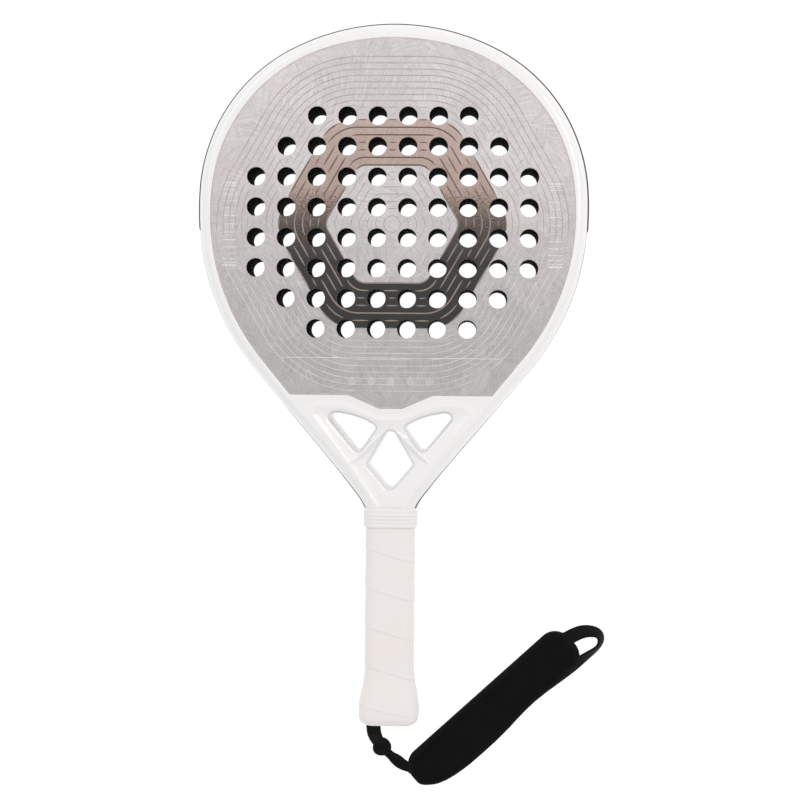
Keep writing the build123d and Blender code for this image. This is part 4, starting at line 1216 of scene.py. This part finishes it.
def handle_ring(half_wide, half_deep, corner, count=128):
    """Points round a rectangle with rounded corners, evenly spaced, starting at the left and going
    over the front: x, the height above the middle, and the directions straight out."""
    centres = np.array([(-1, 1), (1, 1), (1, -1), (-1, -1)]) * (half_wide - corner, half_deep - corner)
    arc = np.linspace(0, np.pi / 2, 33)
    loop, out = [np.array([(-half_wide, 0.0)])], [np.array([(-1.0, 0.0)])]
    for k, centre in enumerate(centres):
        angle = np.pi - k * np.pi / 2 - arc
        spoke = np.stack([np.cos(angle), np.sin(angle)], 1)
        loop.append(centre + corner * spoke)
        out.append(spoke)
    line = np.c_[np.concatenate([*loop, loop[0]]), np.concatenate([*out, out[0]])]
    places = even_places(line, count)
    return places[:, :2], places[:, 2:]


def eased_step(value, low, high):
    """0 below low, 1 above high, and a smooth cubic between them."""
    t = np.clip((value - low) / (high - low), 0, 1)
    return t * t * (3 - 2 * t)


def flare_share(place, half):
    """How much of the flare a place on the section takes: none at its middle, all from where the
    rounded corner begins, so that the corner keeps its radius."""
    return np.clip(place / (half - GRIP_CORNER), -1, 1)


def lap_height(share, y):
    """Height of the tape at a share of the way round and a place down the handle: it is highest
    just above each seam, falls in a short step there, and rises slowly to the next."""
    slant = share - 0.028 * np.sin(4 * np.pi * share)
    phase = ((LAP_FIRST - y) / LAP_PITCH - slant) % 1.0
    step = eased_step(phase * LAP_PITCH, 0.0, LAP_STEP)
    body = LAP_HIGH * (1 - step) + LAP_HIGH * np.clip((phase - 0.08) / 0.92, 0, 1) ** 1.3 * step
    groove = SEAM_GROOVE * np.exp(-(((phase * LAP_PITCH - 0.5) / 0.4) ** 2))
    roll = SEAM_ROLL * np.exp(-((((1 - phase) * LAP_PITCH - 1.1) / 0.9) ** 2))
    return body - groove + roll


def grip_sleeve(rows=360, around=144):
    """The handle's section down its length, let out evenly into the flare near the butt, with the
    tape's laps and a slow unevenness from the hand that wound it added straight out."""
    ring, out = handle_ring(GRIP_HALF_WIDE, GRIP_HALF_DEEP, GRIP_CORNER, around)
    y = np.linspace(GRIP_TOP, GRIP_LOW, rows)[:, None]
    share = np.linspace(0, 1, around, endpoint=False)[None, :]
    flare = np.clip((FLARE_FROM - y) / (FLARE_FROM - FLARE_TO), 0, 1)
    flare = flare - 0.06 * np.sin(2 * np.pi * flare) * (flare < 1)
    slow = HAND_SLACK * np.sin(2 * np.pi * (y / 31.0 + share)) * np.sin(y / 9.0)
    fade = np.clip((GRIP_TOP - y) / 3, 0.3, 1) * np.clip((y - GRIP_LOW) / 2.0, 0.15, 1)
    swell = (lap_height(share, y) + slow) * fade
    wide, deep = ring[None, :, 0], ring[None, :, 1]
    x = wide + out[None, :, 0] * swell + flare * FLARE_WIDE * flare_share(wide, GRIP_HALF_WIDE)
    z = MIDDLE_Z + deep + out[None, :, 1] * swell + flare * FLARE_DEEP * flare_share(deep, GRIP_HALF_DEEP)
    return np.stack([x, np.broadcast_to(y, x.shape), z], -1)


sleeve = grip_sleeve()
inner_sleeve = (sleeve[::12] - (0, 0, MIDDLE_Z)) * (GRIP_BORE, 1, GRIP_BORE) + (0, 0, MIDDLE_Z)
sleeve = np.concatenate([sleeve, inner_sleeve[::-1]])


def ring_body(name, grid, finish):
    """A piece from a grid of rings whose last ring joins its first, like a long tyre."""
    rows, around = grid.shape[:2]
    faces = grid_faces(rows + 1, around, round_columns=True) % (rows * around)
    return put_in_mesh(name, grid.reshape(-1, 3), faces, finish)


def overgrip_finish():
    """Warm white felt: a fine pebble of raised dots in rows, faint peach handling marks, and a soft
    sheen with no gloss."""
    sheen = {"Sheen_Weight": 0.25, "Sheen_Roughness": 0.5, "Specular_IOR_Level": 0.3}
    finish, tree = blank_finish("grip_white", Roughness=0.72, **sheen)
    grain = fine_grain(tree, 1500.0, 38.0)
    sockets = {"Place": put_node(tree, "TexCoord").outputs["Object"], "Threads": (820, 820, 820)}
    weave = put_node(tree, "Group", sockets, node_tree=PLAIN_WEAVE).outputs
    high = maths(tree, "MULTIPLY_ADD", weave["Height"], 0.5, grain["Height"])
    mark = remap(tree, grain["Tone"], from_min=0.42, from_max=0.75)
    tone = colour_mix(tree, mark, (0.80, 0.772, 0.755), (0.815, 0.755, 0.725))
    show_on(tree, Base_Color=tone, Normal=bumped(tree, high, 0.2, 0.00016))
    return finish


grip = ring_body("grip", sleeve, overgrip_finish())
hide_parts("overgrip", "base_grip", "finishing_tape")

# ---- collar -----------------------------------------------------------------
# A soft white rubber ring stretched over the top end of the tape. It has four
# moulded ribs and a thin lip that hugs the neck.
COLLAR_TOP = -84.3
COLLAR_HALF_WIDE, COLLAR_HALF_DEEP, COLLAR_CORNER = 16.15, 15.95, 9.0
# How far down the collar, and how far out from the bore, each station of its section is.
COLLAR_SECTION = np.array([
    (0.5, -1.6), (0.1, -1.3), (0.0, -0.6), (0.0, 0.10), (0.15, 0.35), (0.6, 0.50), (2.6, 0.55),
    (2.95, 0.42), (3.1, 0.62), (3.3, 0.86), (3.7, 0.98), (4.9, 0.98), (5.25, 0.84), (5.4, 0.60),
    (5.55, 0.60), (5.75, 0.86), (6.1, 1.0), (7.1, 1.0), (7.45, 0.86), (7.6, 0.62), (7.75, 0.62),
    (7.95, 0.86), (8.3, 1.0), (9.3, 1.0), (9.65, 0.86), (9.8, 0.62), (9.95, 0.62), (10.15, 0.84),
    (10.5, 0.96), (11.7, 0.94), (12.3, 0.80), (12.6, 0.4), (12.6, -0.5), (12.2, -1.2), (6.0, -1.4),
])


def collar_ring(around=120):
    """The section carried round the handle: the bore's rounded rectangle, moved straight out by
    each station's distance. The section closes on itself inside the bore."""
    ring, out = handle_ring(COLLAR_HALF_WIDE, COLLAR_HALF_DEEP, COLLAR_CORNER, around)
    far = COLLAR_SECTION[:, 1][:, None]
    x = ring[None, :, 0] + out[None, :, 0] * far
    z = MIDDLE_Z + ring[None, :, 1] + out[None, :, 1] * far
    y = np.broadcast_to(COLLAR_TOP - COLLAR_SECTION[:, 0][:, None], x.shape)
    return np.stack([x, y, z], -1)


collar_rubber = grained_finish(
    "collar_rubber", ((0.78, 0.775, 0.77), (0.82, 0.815, 0.81)), 1100.0, 60.0, 0.15, (0.42, 0.55),
    Specular_IOR_Level=0.4,
)
collar = ring_body("collar_ring", collar_ring(), collar_rubber)
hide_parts("collar")

# ---- butt cap ---------------------------------------------------------------
# A moulded white cap closes the flare. Its end is slightly domed, and a slot in
# it lets the strap out from the pin inside.
CAP_ROUND, CAP_DEEP = 7.6, 6.2
SLOT_X, SLOT_WIDE, SLOT_HIGH, SLOT_CORNER, SLOT_DEEP = -9.9, 5.5, 3.3, 2.2, 6.0
CAP_PROUD, CAP_DOME = 0.25, 0.7


def butt_cap_shell(around=128):
    """Rings from inside the wrap's end out and round the edge, a quarter ellipse, over the slightly
    domed end to the slot, and into the slot. Between edge and slot the rings blend one to the other."""
    ring, out = handle_ring(GRIP_HALF_WIDE, GRIP_HALF_DEEP, GRIP_CORNER, around)
    flared = np.stack([flare_share(ring[:, 0], GRIP_HALF_WIDE), flare_share(ring[:, 1], GRIP_HALF_DEEP)], 1)
    rim = ring + flared * (FLARE_WIDE, FLARE_DEEP) + CAP_PROUD * out
    slot, slot_out = handle_ring(SLOT_WIDE, SLOT_HIGH, SLOT_CORNER, around)
    slot = slot + (SLOT_X, 0)
    turn = np.linspace(0, np.pi / 2, 11)
    # How far each ring is drawn in from the rim, and how far up it is from the wrap's end.
    edge_in = np.r_[1.6, 0.5, CAP_ROUND * (1 - np.cos(turn))]
    edge_up = np.r_[1.5, 0.3, 0.1 - CAP_DEEP * np.sin(turn)]
    rings = [(rim - far * out, GRIP_LOW + up) for far, up in zip(edge_in, edge_up)]
    edge, edge_y = rings[-1]
    for share in np.linspace(0, 1, 14)[1:]:
        dome = CAP_DOME * np.sin(np.pi / 2 * min(share * 1.6, 1.0))
        rings.append(((1 - share) * edge + share * (slot + slot_out * 0.5), edge_y - dome))
    lip = rings[-1][1]
    for gap, deep in ((0.2, 0.12), (0.0, 0.5), (0.0, SLOT_DEEP), (-1.5, SLOT_DEEP)):
        rings.append((slot + slot_out * gap, lip + deep))
    return np.array([np.c_[xz[:, 0], np.full(around, y), xz[:, 1] + MIDDLE_Z] for xz, y in rings])


cap_plastic = grained_finish(
    "cap_plastic", ((0.79, 0.76, 0.745), (0.82, 0.785, 0.77)), 1400.0, 50.0, 0.2, (0.45, 0.6),
    Specular_IOR_Level=0.4,
)
cap = capped_piece("cap", butt_cap_shell(), cap_plastic)
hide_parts("butt_cap")

# ---- parts inside the handle ------------------------------------------------
# Two plastic shells on a foam spacer, the strap's steel pin and the cap's four
# staples. They show only inside the strap's slot.
shell_plastic = grained_finish(
    "shell_plastic", ((0.03, 0.03, 0.032), (0.05, 0.05, 0.053)), 1200.0, 70.0, 0.25, (0.4, 0.55)
)
pale_foam = grained_finish(
    "pale_foam", ((0.45, 0.44, 0.42), (0.56, 0.55, 0.53)), 900.0, 120.0, 0.5, (0.85, 0.95)
)
pin_steel = grained_finish(
    "pin_steel", ((0.45, 0.45, 0.46), (0.56, 0.56, 0.57)), 2200.0, 200.0, 0.15, (0.25, 0.4), Metallic=1.0
)
refinish("handle_shell_front", shell_plastic)
refinish("handle_shell_back", shell_plastic)
refinish("handle_spacer", pale_foam)
refinish("strap_anchor_pin", pin_steel)
refinish("cap_staples", pin_steel)

# ---- small printed marks ----------------------------------------------------
# Pale ink on each face: a ladder of ticks by either side, a thin level line and
# five plain rings under the holes, and a fine warm line round the laminate's edge.
TICK_X, TICK_MIDDLE, TICK_SPREAD, TICK_HALF = 103.5, 96.2, 26.5, 4.4
LINE_Y, LINE_HALF = 11.6, 69.0
DOT_Y, DOT_PITCH, DOT_RADIUS = -2.9, 12.3, 2.3
INK_TOP, INK_LOW, LINE_TOP = FACE_TOP + 0.03, FACE_TOP - 0.1, FACE_TOP + 0.17
TICK_WIDE, RAIL_WIDE, RAIL_FOOT, LINE_WIDE = 0.42, 0.14, 5.2, 0.45


def ink_strips(starts, ends, width, high):
    """A slim box for each strip, from its start to its end and half its width to either side."""
    way = (ends - starts) / np.linalg.norm(ends - starts, axis=1)[:, None]
    aside = np.stack([-way[:, 1], way[:, 0]], 1) * width / 2
    corners = np.stack([starts - aside, ends - aside, ends + aside, starts + aside], 1)
    levels = [np.insert(corners, 2, z, axis=2) for z in (high, INK_LOW)]
    box = np.array([(0, 1, 2, 3), (7, 6, 5, 4), (0, 4, 5, 1), (1, 5, 6, 2), (2, 6, 7, 3), (3, 7, 4, 0)])
    points = np.concatenate(levels, 1).reshape(-1, 3)
    return points, (np.arange(len(starts))[:, None, None] * 8 + box).reshape(-1, 4)


def flat_ring(loop, loop_out, outer, inner, high):
    """A closed ring of ink between two insets of a loop: low and high outside, high and low inside."""
    rows = [np.c_[loop - inset * loop_out, np.full(len(loop), z)]
            for inset, z in ((outer, INK_LOW), (outer, high), (inner, high), (inner, INK_LOW))]
    return np.concatenate(rows), grid_faces(5, len(loop), round_columns=True) % (4 * len(loop))


# The ticks stand as the rings of latitude on a globe seen from the side, every eighth of a quarter turn.
tick_y = TICK_MIDDLE + TICK_SPREAD * np.sin(np.linspace(-np.pi / 2, np.pi / 2, 17))
tick_starts, tick_ends = (
    np.concatenate([np.c_[np.full(len(tick_y), side * TICK_X + half), tick_y] for side in (-1, 1)])
    for half in (-TICK_HALF, TICK_HALF)
)
rail_x = np.concatenate([side * TICK_X + np.array((-3.6, -1.2, 1.2, 3.6)) for side in (-1, 1)])
rail_starts, rail_ends = (np.c_[rail_x, np.full(8, TICK_MIDDLE + up)] for up in (RAIL_FOOT, TICK_SPREAD))
level_ends = np.array([(-LINE_HALF, LINE_Y)]), np.array([(LINE_HALF, LINE_Y)])
mark_parts = [
    ink_strips(tick_starts, tick_ends, TICK_WIDE, INK_TOP),
    ink_strips(rail_starts, rail_ends, RAIL_WIDE, INK_TOP),
    ink_strips(*level_ends, LINE_WIDE, LINE_TOP),
]
for number in range(-2, 3):
    loop = np.array((number * DOT_PITCH, DOT_Y)) + DOT_RADIUS * ring_way
    for outer, inner in ((0.0, 0.34), (1.1, 1.5)):
        mark_parts.append(flat_ring(loop, ring_way, outer, inner, INK_TOP))
pale_ink = rib_finish("pale_ink", (0.70, 0.685, 0.69), (0.78, 0.765, 0.765), 0.0, 120.0)
accent_ink = rib_finish("accent_ink", (0.50, 0.478, 0.478), (0.60, 0.50, 0.485), 20.0, 120.0)
both_faces("marks", *all_together(mark_parts), pale_ink)
both_faces("edge_line", *flat_ring(face_loop, face_loop_out, 0.12, 0.75, FACE_TOP + 0.02), accent_ink)
